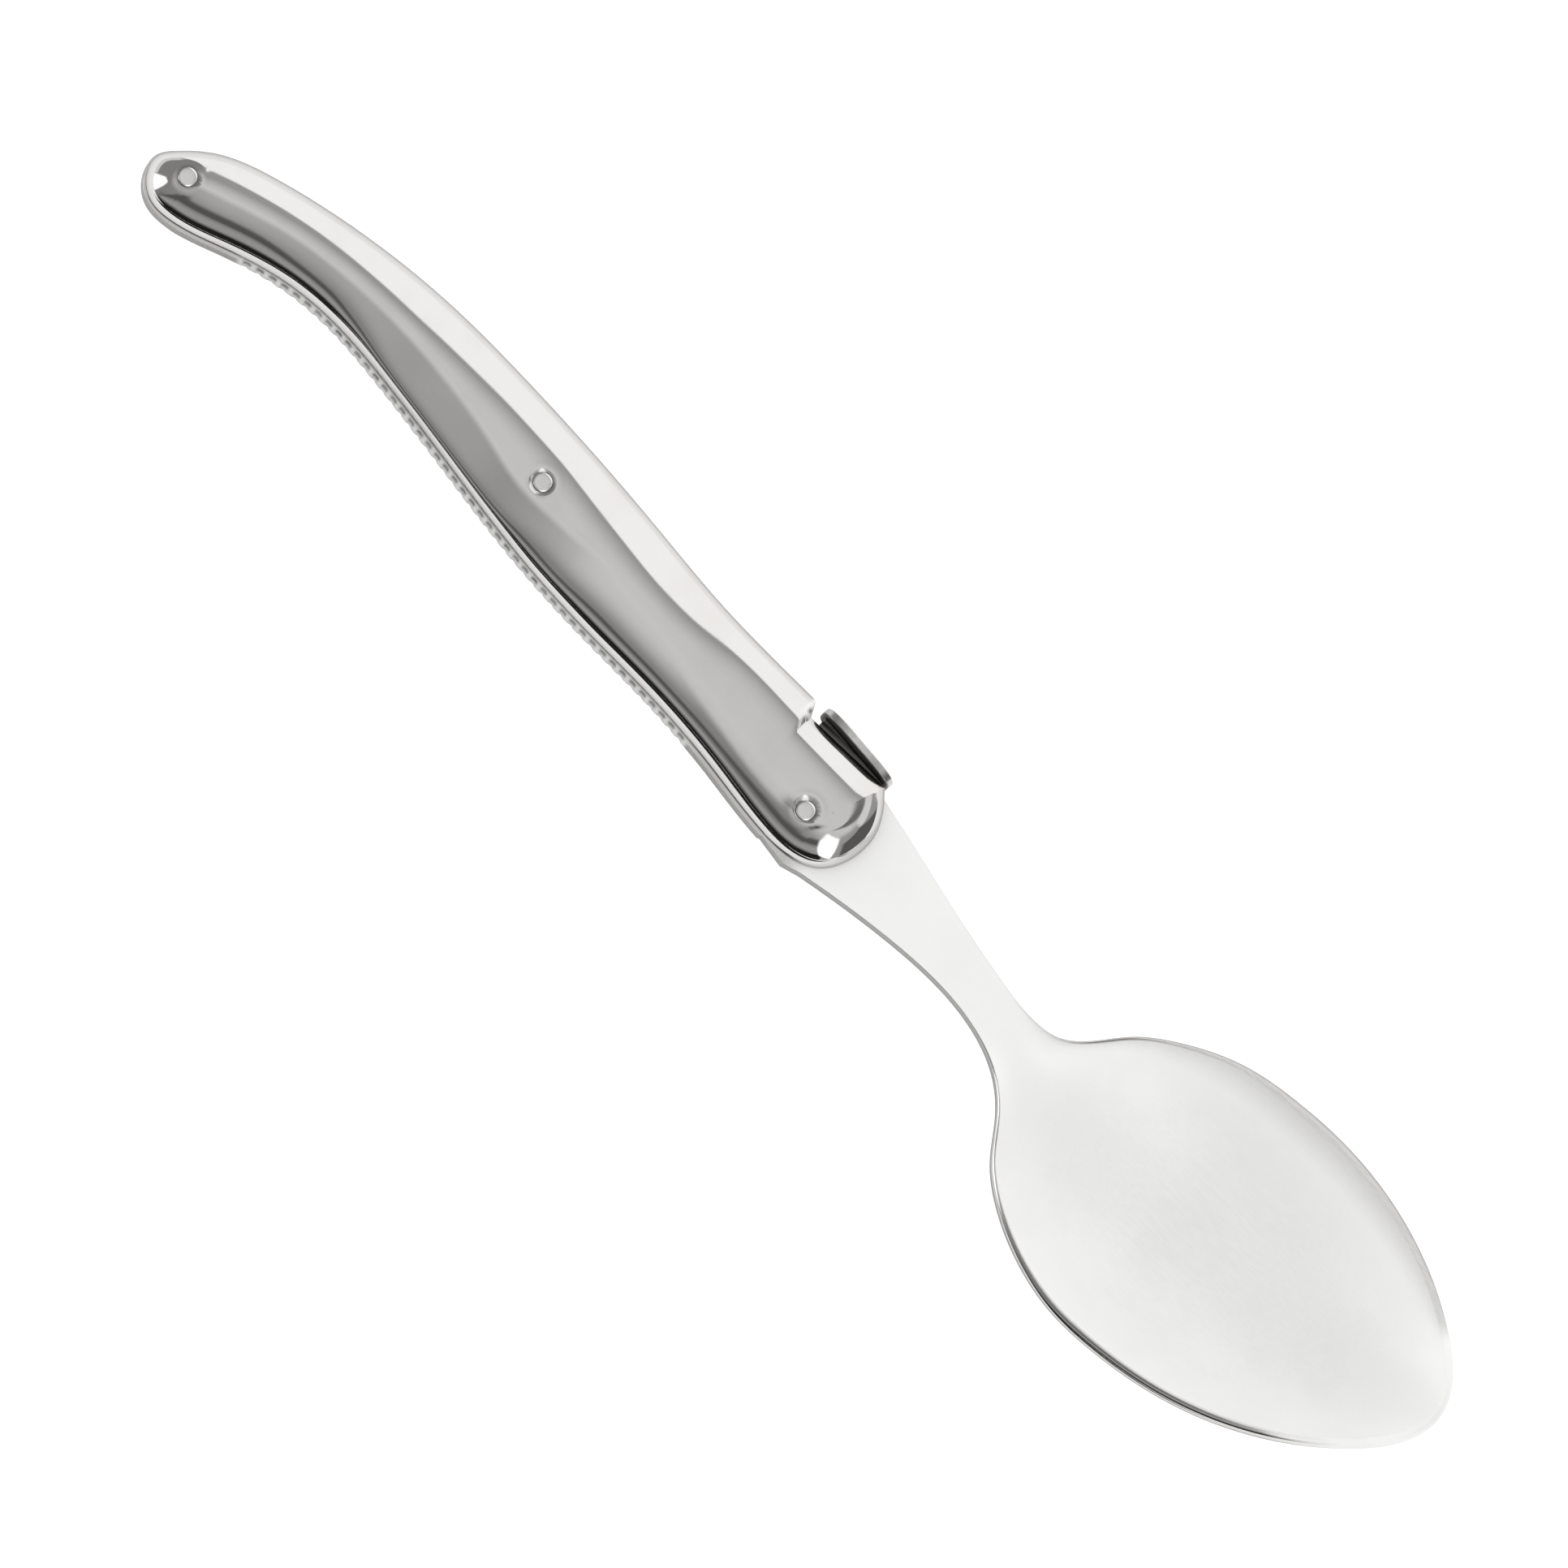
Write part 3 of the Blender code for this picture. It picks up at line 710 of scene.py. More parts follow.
def drawn_depth(x, across):
    """How far the bowl is pressed down at a station and a share across it."""
    share = (x - form_start) / form_length
    rising = (1 - np.maximum(1 - share / deepest_share, 0.0) ** 2) ** 2
    falling = 1 - np.maximum((share - deepest_share) / (1 - deepest_share), 0.0) ** tip_power
    return bowl_depth * np.where(share < deepest_share, rising, falling) * (1 - np.abs(across) ** wall_power)


def edge_round(x):
    """Rounding of the sheet's edge: crisp on the neck, full on the bowl's rim."""
    return edge_break + (rim_round - edge_break) * along_run(x, form_start, deepest_share * form_length)


# %% [markdown]
# The belly edge of the tang stands a little proud of the shells and carries a row of file cuts. A
# cosine dip gives each cut the soft shoulders that a round file leaves. Near the bolster the edge
# steps back to the heel, and it ends in a small nub where the neck begins.

# %% Edge of the tang
spring_tail = spring_tail_share * handle_length
spring_front = spring_front_share * handle_length
tang_stations = 160
end_stations = 20
cut_points = 9
between_cuts = (0.56, 0.62)
first_cut = file_start_share * handle_length
filed_length = (file_end_share - file_start_share) * handle_length
cuts = [first_cut + k * file_pitch for k in range(1 + int(filed_length / file_pitch))]
print(len(cuts), "file cuts")


def spring_inner(x):
    """Inner edge of the spring, which the sheet follows."""
    top = np.where(np.asarray(x) > notch_at, back_top, height_on(back_edge, x))
    return top - spring_inset - spring_height


def tang_loop():
    """Edge of the sheet inside the handle, from the neck's back to its belly."""
    step_at = spring_front + seam
    loop = [(step_at, height_on(bowl_back, step_at)), (step_at, spring_inner(spring_front) - seam)]
    xs = np.linspace(notch_at, spring_tail - seam, tang_stations)
    loop += [(x, spring_inner(x) - seam) for x in xs]
    tail = list(map(tuple, round_the_tail(xs[-1])))
    tail = [(xs[-1], height_on(back_edge, xs[-1]))] + tail + [(xs[-1], height_on(belly_edge, xs[-1]))]
    ahead = xs[-1] + spring_height
    around = [(ahead, height_on(back_edge, ahead))] + tail + [(ahead, height_on(belly_edge, ahead))]
    normals = outward(around)[1:-1]
    for k, point in enumerate(tail):
        share = k / (len(tail) - 1)
        grow = share * tang_reveal - (1 - share) * spring_inset
        loop.append((point[0] + normals[k][0] * grow, point[1] + normals[k][1] * grow))
    edge = list(np.linspace(xs[-1], cuts[0] - file_width, end_stations)[1:])
    edge += list(np.linspace(cuts[-1] + file_width, heel_share * handle_length, end_stations))
    for x in cuts:
        edge += [x + share * file_width for share in (*np.linspace(-0.5, 0.5, cut_points), *between_cuts)]
    loop += [(x, height_on(belly_edge, x) - tang_reveal) for x in sorted(edge)]
    loop.append((loop[-1][0] + heel_step, loop[-1][1] + heel_step))
    nub = nub_share * handle_length
    loop.append((nub, height_on(bowl_belly, nub) - nub_height))
    return loop


# %% Outline of the whole sheet
neck_stations = 60
bowl_rows = 150

tang = tang_loop()
neck = np.linspace(spring_front + seam + 2 * edge_break, form_start, neck_stations)
formed = bowl_back[bowl_back[:, 0] > form_start]
rows = np.concatenate(([form_start], evenly(formed, bowl_rows - 1)[:, 0]))
side_xs = np.concatenate((neck[:-1], rows))
blank = np.vstack((tang, on_curve(bowl_belly, side_xs), bowl_tip, on_curve(bowl_back, side_xs)[::-1]))
blank_out = outward(blank)
first_row = len(tang) + neck_stations - 1
tip_at = first_row + bowl_rows
last_row = tip_at + bowl_rows
on_tang = np.arange(len(blank)) < len(tang)
softness = np.where(on_tang, tang_break, edge_round(blank[:, 0]))
print(len(blank), "points round the sheet")

# %% [markdown]
# The faces of the sheet are brushed to a satin, and its edge is polished on the wheel. The wheel
# misses the file cuts and the tip of the bowl, and shade is painted dark into the cuts. Use has
# rubbed the rim bright along the bowl's back, where a grey shade is painted along it, and the
# hollow has painted shade that deepens with its depth. Each point of the skin carries its share of
# satin and of painted shade, from 0 to 1, and the material reads them.

# %% Finish of the sheet's edge
# Painted shade comes from three of these: dark in the file cuts, darker with the depth of the bowl's hollow,
# and grey along the rubbed back rim.
filed_satin = 0.6
cut_painted_shade = 0.85
cut_spread = 3
hollow_painted_shade = 0.11
rim_rub = 0.3
rim_painted_grey = 0.3
painted_grey_spread = 4
rub_starts = 0.84
rub_painted_grey = 0.5
tip_satin_starts = 70 * MM
tip_satin_full = 76 * MM

proud = blank[:, 1] < height_on(belly_edge, blank[:, 0]) - tang_reveal / 2
off_a_cut = np.abs(blank[:, :1] - np.array(cuts)).min(axis=1) / file_width
cut = np.where(proud & (off_a_cut < 0.5), np.cos(np.pi * off_a_cut) ** 2, 0.0)
row_middle, row_half = (cuts[0] + cuts[-1]) / 2, (cuts[-1] - cuts[0]) / 2
filed = on_tang & proud & (np.abs(blank[:, 0] - row_middle) < row_half + file_width)
dulled = along_run(blank[:, 0], tip_satin_starts, tip_satin_full - tip_satin_starts)
rubbed = rim_rub * along_run(blank[:, 0], form_start, deepest_share * form_length)
rubbed[:tip_at] = 0.0
rubbed *= 1.0 - dulled
# Painted grey shade along the bowl's rubbed back rim.
painted_grey = rim_painted_grey * np.minimum(painted_grey_spread * rubbed / rim_rub, 1.0)
print(int(filed.sum()), "points along the filed edge")

# %% Rings round the sheet's edge
edge_steps = 5
wall_levels = ((0.55, 0.7), (0.2, 0.15), (-0.2, 0.15), (-0.55, 0.7))
shelf = 0.3 * MM


def edge_ring(bm, turn, level, depth):
    """One ring of the edge, from the face at no turn to the wall at a quarter turn."""
    satin, soot = (bm.verts.layers.float[mark] for mark in ("satin", "soot"))
    plan = blank - blank_out * (softness * (1 - math.sin(turn)))[:, None]
    plan[:, 1] += file_depth * depth * cut
    height = rim_height(blank[:, 0]) + level * (sheet / 2 - softness * (1 - math.cos(turn)))
    ring = [bm.verts.new(point) for point in at_height(plan, height)]
    brushed = np.where(on_tang, dulled, 1.0 - rubbed) if turn == 0 else dulled
    for i, vert in enumerate(ring):
        vert[satin] = filed_satin if filed[i] else brushed[i]
        # Painted shade: dark in the file cuts, strongest at the top and bottom of the edge, and grey along
        # the rubbed back rim.
        vert[soot] = cut_painted_shade * depth * min(1.0, cut_spread * cut[i]) + painted_grey[i]
    return ring


def shelf_ring(bm, outer):
    """Points a little inside the filed edge, where the painted shade in the cuts ends."""
    ring = list(outer)
    for i in np.flatnonzero(filed):
        x, y = blank[i] - blank_out[i] * (softness[i] + shelf)
        ring[i] = bm.verts.new((x, y, outer[i].co.z))
        ring[i][bm.verts.layers.float["satin"]] = filed_satin
    return ring


# %% Faces of the neck and the bowl
bowl_columns = 72


def bowl_face(bm, inner, top):
    """One face of the neck and the bowl: flat strips, then a grid pressed down into the die."""
    satin, soot = (bm.verts.layers.float[mark] for mark in ("satin", "soot"))
    shares = np.sin(0.5 * np.pi * np.linspace(-1, 1, bowl_columns + 1))[1:-1]
    grid = []
    for k in range(bowl_rows):
        low, high = inner[first_row + k], inner[last_row - k]
        row = [low]
        for share in shares:
            sunk = drawn_depth(rows[k], share)
            near = along_run(share, rub_starts, 1 - rub_starts)
            spot = low.co.lerp(high.co, (1 + share) / 2)
            spot.z = rim_height(spot.x) + top * sheet / 2 - sunk
            vert = bm.verts.new(spot)
            vert[satin] = 1.0 - near * rubbed[last_row - k]
            # Painted shade: darker with the depth of the hollow, and grey near the rubbed back rim.
            vert[soot] = hollow_painted_shade * sunk / bowl_depth + rub_painted_grey * near**2 * painted_grey[last_row - k]
            row.append(vert)
        grid.append(row + [high])
    for one, other in zip(grid, grid[1:]):
        for c in range(bowl_columns):
            bm.faces.new((one[c], one[c + 1], other[c + 1], other[c]))
    for c in range(bowl_columns):
        bm.faces.new((grid[-1][c], grid[-1][c + 1], inner[tip_at]))
    bm.faces.new((inner[first_row - 1], *grid[0], inner[last_row + 1]))
    for k in range(1, neck_stations - 1):
        low, high = first_row - k, last_row + k
        bm.faces.new((inner[low - 1], inner[low], inner[high], inner[high + 1]))


# %% Faces of the tang, and the whole sheet


def fill_flat(bm, loops):
    """Triangles over a flat outline, the first loop, that leave the other loops open as holes."""
    verts = [vert for loop in loops for vert in loop]
    edges = []
    for loop in loops:
        start = len(edges)
        edges += [(start + i, start + (i + 1) % len(loop)) for i in range(len(loop))]
    plan = [vert.co.xy for vert in verts]
    spots, _, faces, origins, _, _ = delaunay_2d_cdt(plan, edges, [], 1, closest / 100)
    middles = [(loop, sum((vert.co.xy for vert in loop), Vector((0, 0))) / len(loop)) for loop in loops[1:]]
    for face in faces:
        centre = sum((spots[i] for i in face), Vector((0, 0))) / len(face)
        if all((centre - middle).length > (loop[0].co.xy - middle).length for loop, middle in middles):
            bm.faces.new([verts[origins[i][0]] for i in face])


def tang_face(bm, inner, top):
    """One flat face of the tang, round the edges of its bores."""
    round_hole = at_height(bore_radius * circle(turned_sides), top * sheet / 2)
    bores = [[bm.verts.new(point) for point in round_hole + (*spot, 0)] for spot in rivet_spots.values()]
    fill_flat(bm, [inner[:len(tang) + 1] + inner[-1:]] + bores)
    return bores


def sheet_skin(name):
    """Skin of the whole sheet, with its edge all round, the pressed bowl and the bores."""
    bm = bmesh.new()
    for mark in ("satin", "soot"):
        bm.verts.layers.float.new(mark)
    turns = np.linspace(0, 0.5 * math.pi, edge_steps)
    upper = [edge_ring(bm, turn, 1, 1.0) for turn in turns]
    walls = [edge_ring(bm, turns[-1], level, depth) for level, depth in wall_levels]
    under = [edge_ring(bm, turn, -1, 1.0) for turn in turns]
    upper.insert(0, shelf_ring(bm, upper[0]))
    under.insert(0, shelf_ring(bm, under[0]))
    rings = upper + walls + under[::-1]
    for one, other in zip(rings, rings[1:]):
        strip(bm, one, other)
    sides = ((upper[0], 1), (under[0], -1))
    for inner, top in sides:
        bowl_face(bm, inner, top)
    for hole, twin in zip(*[tang_face(bm, inner, top) for inner, top in sides]):
        strip(bm, hole, twin)
    return settled(name, bm)


seated(sheet_skin("stamped_sheet"), "spoon_blank", "satin_blank")

# %% [markdown]
# ## The back spring
#
# A bar of spring steel fills the slot between the shells along the back. On a folding knife it
# would hold the blade; on this spoon it closes the handle and carries the plate. It is one profile
# with a little width, and its long edges are broken so that they catch a line of light.

# %% Build the spring
spring_stations = 160
plate_centre = plate_centre_share * handle_length
plate_seat = flat_height + plate_lift
# Share of the pad, under the plate, that gets painted shade.
pad_shade_share = 0.51


def seat_line(x):
    """Underside of the plate, pitched down towards the bowl."""
    return plate_seat - (x - plate_centre) * math.tan(plate_pitch)


def spring_skin(name):
    """Skin of the bar: its profile between two broken edges, with the pad for the plate."""
    low_flat = flat_height - spring_inset
    pad_rear = plate_centre - pad_length / 2
    pad_front = plate_centre + pad_length / 2
    xs = np.linspace(spring_tail, notch_at, spring_stations)
    inner = [(x, spring_inner(x)) for x in xs] + [(spring_front, spring_inner(spring_front))]
    pad = [(pad_front, seat_line(pad_front) - seam), (pad_rear, seat_line(pad_rear) - seam)]
    front = [(spring_front, low_flat), (pad_front, low_flat)]
    saddle = [(pad_rear, low_flat), (notch_at + notch_run, low_flat)]
    outer = [(x, height_on(back_edge, x) - spring_inset) for x in xs[::-1]]
    profile = np.array(inner + front + pad + saddle + outer)
    normals = outward(profile)
    broken = edge_break / (sheet / 2)
    steps = ((edge_break, -1), (0, broken - 1), (0, 1 - broken), (edge_break, 1))
    rings = [at_height(profile - normals * inset, level * sheet / 2) for inset, level in steps]
    return loft(name, rings, caps=(0, -1))


def painted_shade_on_pad(x, y, z):
    """Painted shade on the pad under the plate."""
    under_plate = np.abs(x - plate_centre) < pad_shade_share * pad_length
    return np.where(under_plate & (y > flat_height - 2 * spring_inset), 1.0, 0.0)


seated(spring_skin("back_spring_bar"), "back_spring", "spring_steel", soot=painted_shade_on_pad)

# %% [markdown]
# ## The plate at the bolster
#
# A small domed plate stands across the end of the spring, where the thumb lies. The photograph
# looks along it, so only its edge and its underside show, with shade painted dark on the underside.
# It stays bare.

# %% Build the plate
plate_sides = 160
plate_rings = 14
crown_share = 0.93
plate_wall = ((crown_share, 0.0), (0.975, 0.03), (1.0, 0.14), (1.0, 0.5), (1.0, 0.86), (0.975, 0.97))
# Painted shade on the plate's underside, fading towards its rim.
plate_painted_shade = 0.95
shade_start = -0.01
shade_reach = 0.12


def plate_skin(name):
    """Skin of the plate: a rounded wall, then a low dome over a squarish oval."""
    brink = plate_thickness - plate_crown
    plain = circle(plate_sides)
    oval = np.abs(plain) ** (2 / plate_squareness) * np.sign(plain) * (plate_length, plate_width) / 2
    steps = [(share, level * brink) for share, level in plate_wall]
    domed = np.linspace(crown_share, 0.0, plate_rings)
    steps += [(share, brink + plate_crown * (1 - share**2)) for share in domed]
    plate = loft(name, [at_height(share * oval, height) for share, height in steps], caps=(0,))
    stand = Matrix(((1, 0, 0, 0), (0, 0, 1, 0), (0, -1, 0, 0), (0, 0, 0, 1)))
    place = Matrix.Translation((plate_centre, plate_seat, 0)) @ Matrix.Rotation(-plate_pitch, 4, "Z")
    plate.data.transform(place @ stand)
    return plate


def painted_shade_below(x, y, z):
    """Painted shade on the underside of the plate, fading towards its rim."""
    above = (y - seat_line(x)) / plate_thickness
    return plate_painted_shade - (above - shade_start) / shade_reach


seated(plate_skin("bolster_plate"), "spring_plate", "plate_steel", soot=painted_shade_below)

# %% [markdown]
# ## The rivets
#
# Each rivet is a plain pin whose ends are hammered over and polished down until only a low dome
# stands proud. Its profile is turned round the axis, with a soft shoulder where the head meets the
# countersink.

# %% Build the rivets
head_shares = ((0.0, 0.60), (0.5, 0.59), (0.78, 0.54), (0.92, 0.40), (0.975, 0.18), (1.0, -0.2), (1.0, -1.1))
for place, spot in rivet_spots.items():
    top = [(out * rivet_radius, crown_at(place) + rise * rivet_dome) for out, rise in head_shares]
    profile = [(radius, -height) for radius, height in top] + top[::-1]
    pin = turned(place + "_rivet_pin", profile)
    pin.data.transform(Matrix.Translation((*spot, 0)))
    seated(pin, place + "_rivet", place + "_rivet_steel")


# %% [markdown]
# ## Writing shaders as sums
#
# A node tree is easier to read as arithmetic. The class below wraps one socket, so that `1 - mask`
# or `roughness + 0.1 * smudge` adds the Math nodes by itself. Every other node comes from `make`,
# which sets the node up first and then fills or links its sockets. `fresh` clears a tree and hands
# out a `make` for it.

# %% A socket that takes part in sums


class Socket:
    """One output socket of a node tree that Python can add, subtract, multiply and divide."""

    def __init__(self, tree, end):
        self.tree = tree
        self.end = end

    @staticmethod
    def make(tree, kind, settings=None, sockets=None, output=0):
        """Any node: its settings first, then the values or links of its sockets."""
        node = tree.nodes.new(kind)
        for name, value in (settings or {}).items():
            if name == "stops":
                ramp = node.color_ramp
                while len(ramp.elements) < len(value):
                    ramp.elements.new(0.5)
                for element, (position, colour) in zip(ramp.elements, value):
                    element.position = position
                    element.color = colour
            else:
                setattr(node, name, value)
        for name, value in (sockets or {}).items():
            if isinstance(value, Socket):
                tree.links.new(value.end, node.inputs[name])
            else:
                node.inputs[name].default_value = value
        return Socket(tree, node.outputs[output]) if node.outputs else None

    def maths(self, operation, first, second):
        """A Math node on two sockets or numbers."""
        return Socket.make(self.tree, "ShaderNodeMath", {"operation": operation}, {0: first, 1: second})

    def __add__(self, other):
        return self.maths("ADD", self, other)

    def __radd__(self, other):
        return self.maths("ADD", other, self)

    def __sub__(self, other):
        return self.maths("SUBTRACT", self, other)

    def __rsub__(self, other):
        return self.maths("SUBTRACT", other, self)

    def __mul__(self, other):
        return self.maths("MULTIPLY", self, other)

    def __rmul__(self, other):
        return self.maths("MULTIPLY", other, self)

    def __truediv__(self, other):
        return self.maths("DIVIDE", self, other)

    def __rtruediv__(self, other):
        return self.maths("DIVIDE", other, self)

    def most(self, other):
        """The larger of this socket and another."""
        return self.maths("MAXIMUM", self, other)

    def between(self, low, high, from_value=0.0, to_value=1.0):
        """Smooth step from one value to another while this socket runs from low to high."""
        ends = {"Value": self, "From Min": low, "From Max": high, "To Min": from_value, "To Max": to_value}
        return Socket.make(self.tree, "ShaderNodeMapRange", {"interpolation_type": "SMOOTHSTEP"}, ends)

    def blend(self, first, second):
        """Colour that runs from the first to the second as this socket runs from 0 to 1."""
        settings = {"data_type": "RGBA"}
        return Socket.make(self.tree, "ShaderNodeMix", settings, {0: self, 6: first, 7: second}, output=2)


def fresh(owner):
    """Empty the node tree of a material or a world, and return what makes nodes in it."""
    owner.use_nodes = True
    owner.node_tree.nodes.clear()
    return partial(Socket.make, owner.node_tree)


# %% [markdown]
# ## Steel finishes
#
# Polished steel isn't one even mirror. The wheel leaves hair-fine scratches along the handle, and
# fingers leave faint marks. The faces of the bowl and neck are finished with a fine satin brush,
# so they spread light widely. One function makes all of these, from noise that is stretched along
# the spoon, and each piece gets its own measures of it. The marks on the points, satin and painted
# shade, tell it where a piece is brushed and where shade is painted dark into its colour.

# %% Steel material
pale = (0.795, 0.783, 0.77)
dusk = (0.755, 0.735, 0.715)
satin_tint = (1.0, 0.998, 0.99)
satin_shade = (0.965, 0.962, 0.955)
satin_roughness = 0.5
satin_metallic = 0.25
# Painted shade: a near-black colour and some extra roughness where shade is painted on.
painted_shade_tint = (0.025, 0.024, 0.023)
painted_shade_roughness = 0.3
cloud_scale = 0.16 / MM
grain_scale = 2.4 / MM
smear_edges = (0.42, 0.66)
smear_share = 0.6
scratch_share = 0.8
# Scratches lighten the painted shade a little.
painted_shade_mask_edges = (0.30, 0.62)
scraped_painted_shade = 0.72


def steel(name, tint, shade, roughness, smudge, scratch_depth, stretch, rim=1.0, marks=("soot",)):
    """Polished steel with a tint, a darker shade of it in finger marks, and scratches along the spoon."""
    material = bpy.data.materials.new(name)
    node = fresh(material)

    def noise(vector, scale, detail, coarse=0.5):
        """Soft noise of one scale, or stretched with its coordinates."""
        sockets = {"Vector": vector, "Scale": scale, "Detail": detail, "Roughness": coarse}
        return node("ShaderNodeTexNoise", {}, sockets)

    place = node("ShaderNodeTexCoord", output="Object")
    along = node("ShaderNodeMapping", {}, {"Vector": place, "Scale": stretch})
    scratches = noise(along, 1.0, 4.0, 0.65)
    clouds = noise(place, cloud_scale, 3.0, 0.55)
    grains = noise(place, grain_scale, 2.0)
    smear = clouds.between(*smear_edges)
    mottle = smear_share * smear + (1 - smear_share) * grains
    colour = mottle.blend((*tint, 1.0), (*shade, 1.0))
    rough = roughness + smudge * (smear_share * smear + 0.5 * (scratches - 0.5))
    bright = 1.0
    if "satin" in marks:
        satin = node("ShaderNodeAttribute", {"attribute_name": "satin"}, output="Fac")
        colour = satin.blend(colour, mottle.blend((*satin_tint, 1.0), (*satin_shade, 1.0)))
        rough = rough + (satin_roughness - roughness) * satin
        bright = 1.0 - (1.0 - satin_metallic) * satin
    # Painted shade: the colour darkens towards near black by the mark on each point.
    if "soot" in marks:
        soot = node("ShaderNodeAttribute", {"attribute_name": "soot"}, output="Fac")
        painted_shade_mask = soot * scratches.between(*painted_shade_mask_edges, 1.0, scraped_painted_shade)
        colour = painted_shade_mask.blend(colour, (*painted_shade_tint, 1.0))
        rough = rough + painted_shade_roughness * painted_shade_mask
    height = scratch_share * scratches + (1 - scratch_share) * grains
    relief = {"Strength": 1.0, "Distance": scratch_depth, "Height": height}
    sockets = {
        "Base Color": colour,
        "Metallic": bright,
        "Roughness": rough,
        "Specular Tint": (rim, rim, rim, 1.0),
        "Normal": node("ShaderNodeBump", {}, relief),
    }
    shader = node("ShaderNodeBsdfPrincipled", {}, sockets)
    node("ShaderNodeOutputMaterial", {}, {"Surface": shader})
    return material


# %% Steel for each piece
polish_stretch = (0.06 / MM, 3.2 / MM, 3.2 / MM)
satin_stretch = (0.25 / MM, 5.0 / MM, 5.0 / MM)
both = ("soot", "satin")
shell_finish = (pale, dusk, 0.055, 0.05, 0.0006 * MM, polish_stretch, 0.55, both)
plate_pale, plate_dusk = (0.93, 0.92, 0.91), (0.50, 0.49, 0.48)
finishes = {
    "handle_shell_upper": steel("mirror_steel_upper", *shell_finish),
    "handle_shell_lower": steel("mirror_steel_lower", *shell_finish),
    "stamped_sheet": steel("satin_steel", pale, dusk, 0.12, 0.06, 0.0009 * MM, satin_stretch, 0.5, both),
    "back_spring_bar": steel("spring_bar_steel", pale, dusk, 0.16, 0.08, 0.0009 * MM, polish_stretch),
    "bolster_plate": steel(
        "plate_edge_steel", plate_pale, plate_dusk, 0.24, 0.16, 0.004 * MM, polish_stretch
    ),
}
rivet_finish = ((0.95, 0.93, 0.915), (0.90, 0.88, 0.86), 0.24, 0.06, 0.001 * MM, polish_stretch)
for place in rivet_spots:
    finishes[place + "_rivet_pin"] = steel(place + "_pin_steel", *rivet_finish, marks=())
for name, material in finishes.items():
    mesh = bpy.data.objects[name].data
    mesh.materials.clear()
    mesh.materials.append(material)
print(len(finishes), "pieces with their own steel")

# %% [markdown]
# ## Floor
#
# The spoon lies on plain white. To the camera the floor is white with the spoon's soft shadow on it,
# and in the polished steel it shows as a white table that ends not far off on the belly side, which
# draws the thin dark line along that flank.

# %% White floor
floor_size = 6.0
floor_gap = 0.02 * MM
floor_mesh = bpy.data.meshes.new("floor")
half = floor_size / 2
floor_corners = [(-half, -half, 0), (half, -half, 0), (half, half, 0), (-half, half, 0)]
floor_mesh.from_pydata(floor_corners, [], [(0, 1, 2, 3)])
floor = bpy.data.objects.new("floor", floor_mesh)
floor.location.z = -floor_gap
bpy.context.scene.collection.objects.link(floor)

table_edge = -32 * MM
table_fade = 6 * MM
table_tail = -100 * MM
table_bowl = 85 * MM
paper_white = (0.85, 0.85, 0.85, 1)
paper_glow = 0.55
past_table = (0.02, 0.02, 0.02, 1)
floor_material = bpy.data.materials.new("white_table")
floor_node = fresh(floor_material)
camera_ray = floor_node("ShaderNodeLightPath", output="Is Camera Ray")
glossy_ray = floor_node("ShaderNodeLightPath", output="Is Glossy Ray")
spot = floor_node("ShaderNodeNewGeometry", output="Position")
spot_x, spot_y = (floor_node("ShaderNodeSeparateXYZ", {}, {0: spot}, output=axis) for axis in "XY")
on_table = spot_y.between(table_edge - table_fade, table_edge)
on_table = on_table.most(spot_x.between(table_tail, table_tail + table_fade, 1.0, 0.0))
on_table = on_table.most(spot_x.between(table_bowl - table_fade, table_bowl))
paper = floor_node("ShaderNodeBsdfDiffuse", {}, {"Color": paper_white})
glow = floor_node("ShaderNodeEmission", {}, {"Color": (1, 1, 1, 1), "Strength": paper_glow})
lifted = floor_node("ShaderNodeAddShader", {}, {0: paper, 1: glow})
lit_paper = floor_node("ShaderNodeMixShader", {}, {0: camera_ray, 1: paper, 2: lifted})
table_tone = on_table.blend(past_table, (1, 1, 1, 1))
in_steel = floor_node("ShaderNodeBsdfDiffuse", {}, {"Color": table_tone})
surface = floor_node("ShaderNodeMixShader", {}, {0: glossy_ray, 1: lit_paper, 2: in_steel})
floor_node("ShaderNodeOutputMaterial", {}, {"Surface": surface})
floor_mesh.materials.append(floor_material)
print("floor", floor_size, "m wide,", floor_gap / MM, "mm under the spoon")

# %% [markdown]
# ## The studio as the steel sees it
#
# A mirror has no colour of its own: it shows the room. The room is painted on the world. Its tone
# changes with the lean from belly to back, and each softbox, window and dark thing in it is a flat
# panel with soft edges, given by the directions of its corners. A long softbox behind the handle's
# back makes the broad white flank, the grey ceiling makes the crown, and a dark doorway low on the
# belly side makes the black line. Only what is mirrored sees the room: all else sees plain white.

# %% Studio world
world = bpy.data.worlds.new("studio")
bpy.context.scene.world = world
world.cycles.sampling_method = "NONE"
world_node = fresh(world)
way = world_node("ShaderNodeTexCoord", output="Generated")
east, north, up = (world_node("ShaderNodeSeparateXYZ", {}, {0: way}, output=axis) for axis in "XYZ")
lean = world_node("ShaderNodeMath", {"operation": "ARCTAN2"}, {0: 0.0 - north, 1: up})


def aim(azimuth, elevation):
    """Unit vector towards an azimuth, counted from the bowl towards the back, and an elevation."""
    a, e = math.radians(azimuth), math.radians(elevation)
    return Vector((math.cos(a) * math.cos(e), math.sin(a) * math.cos(e), math.sin(e)))


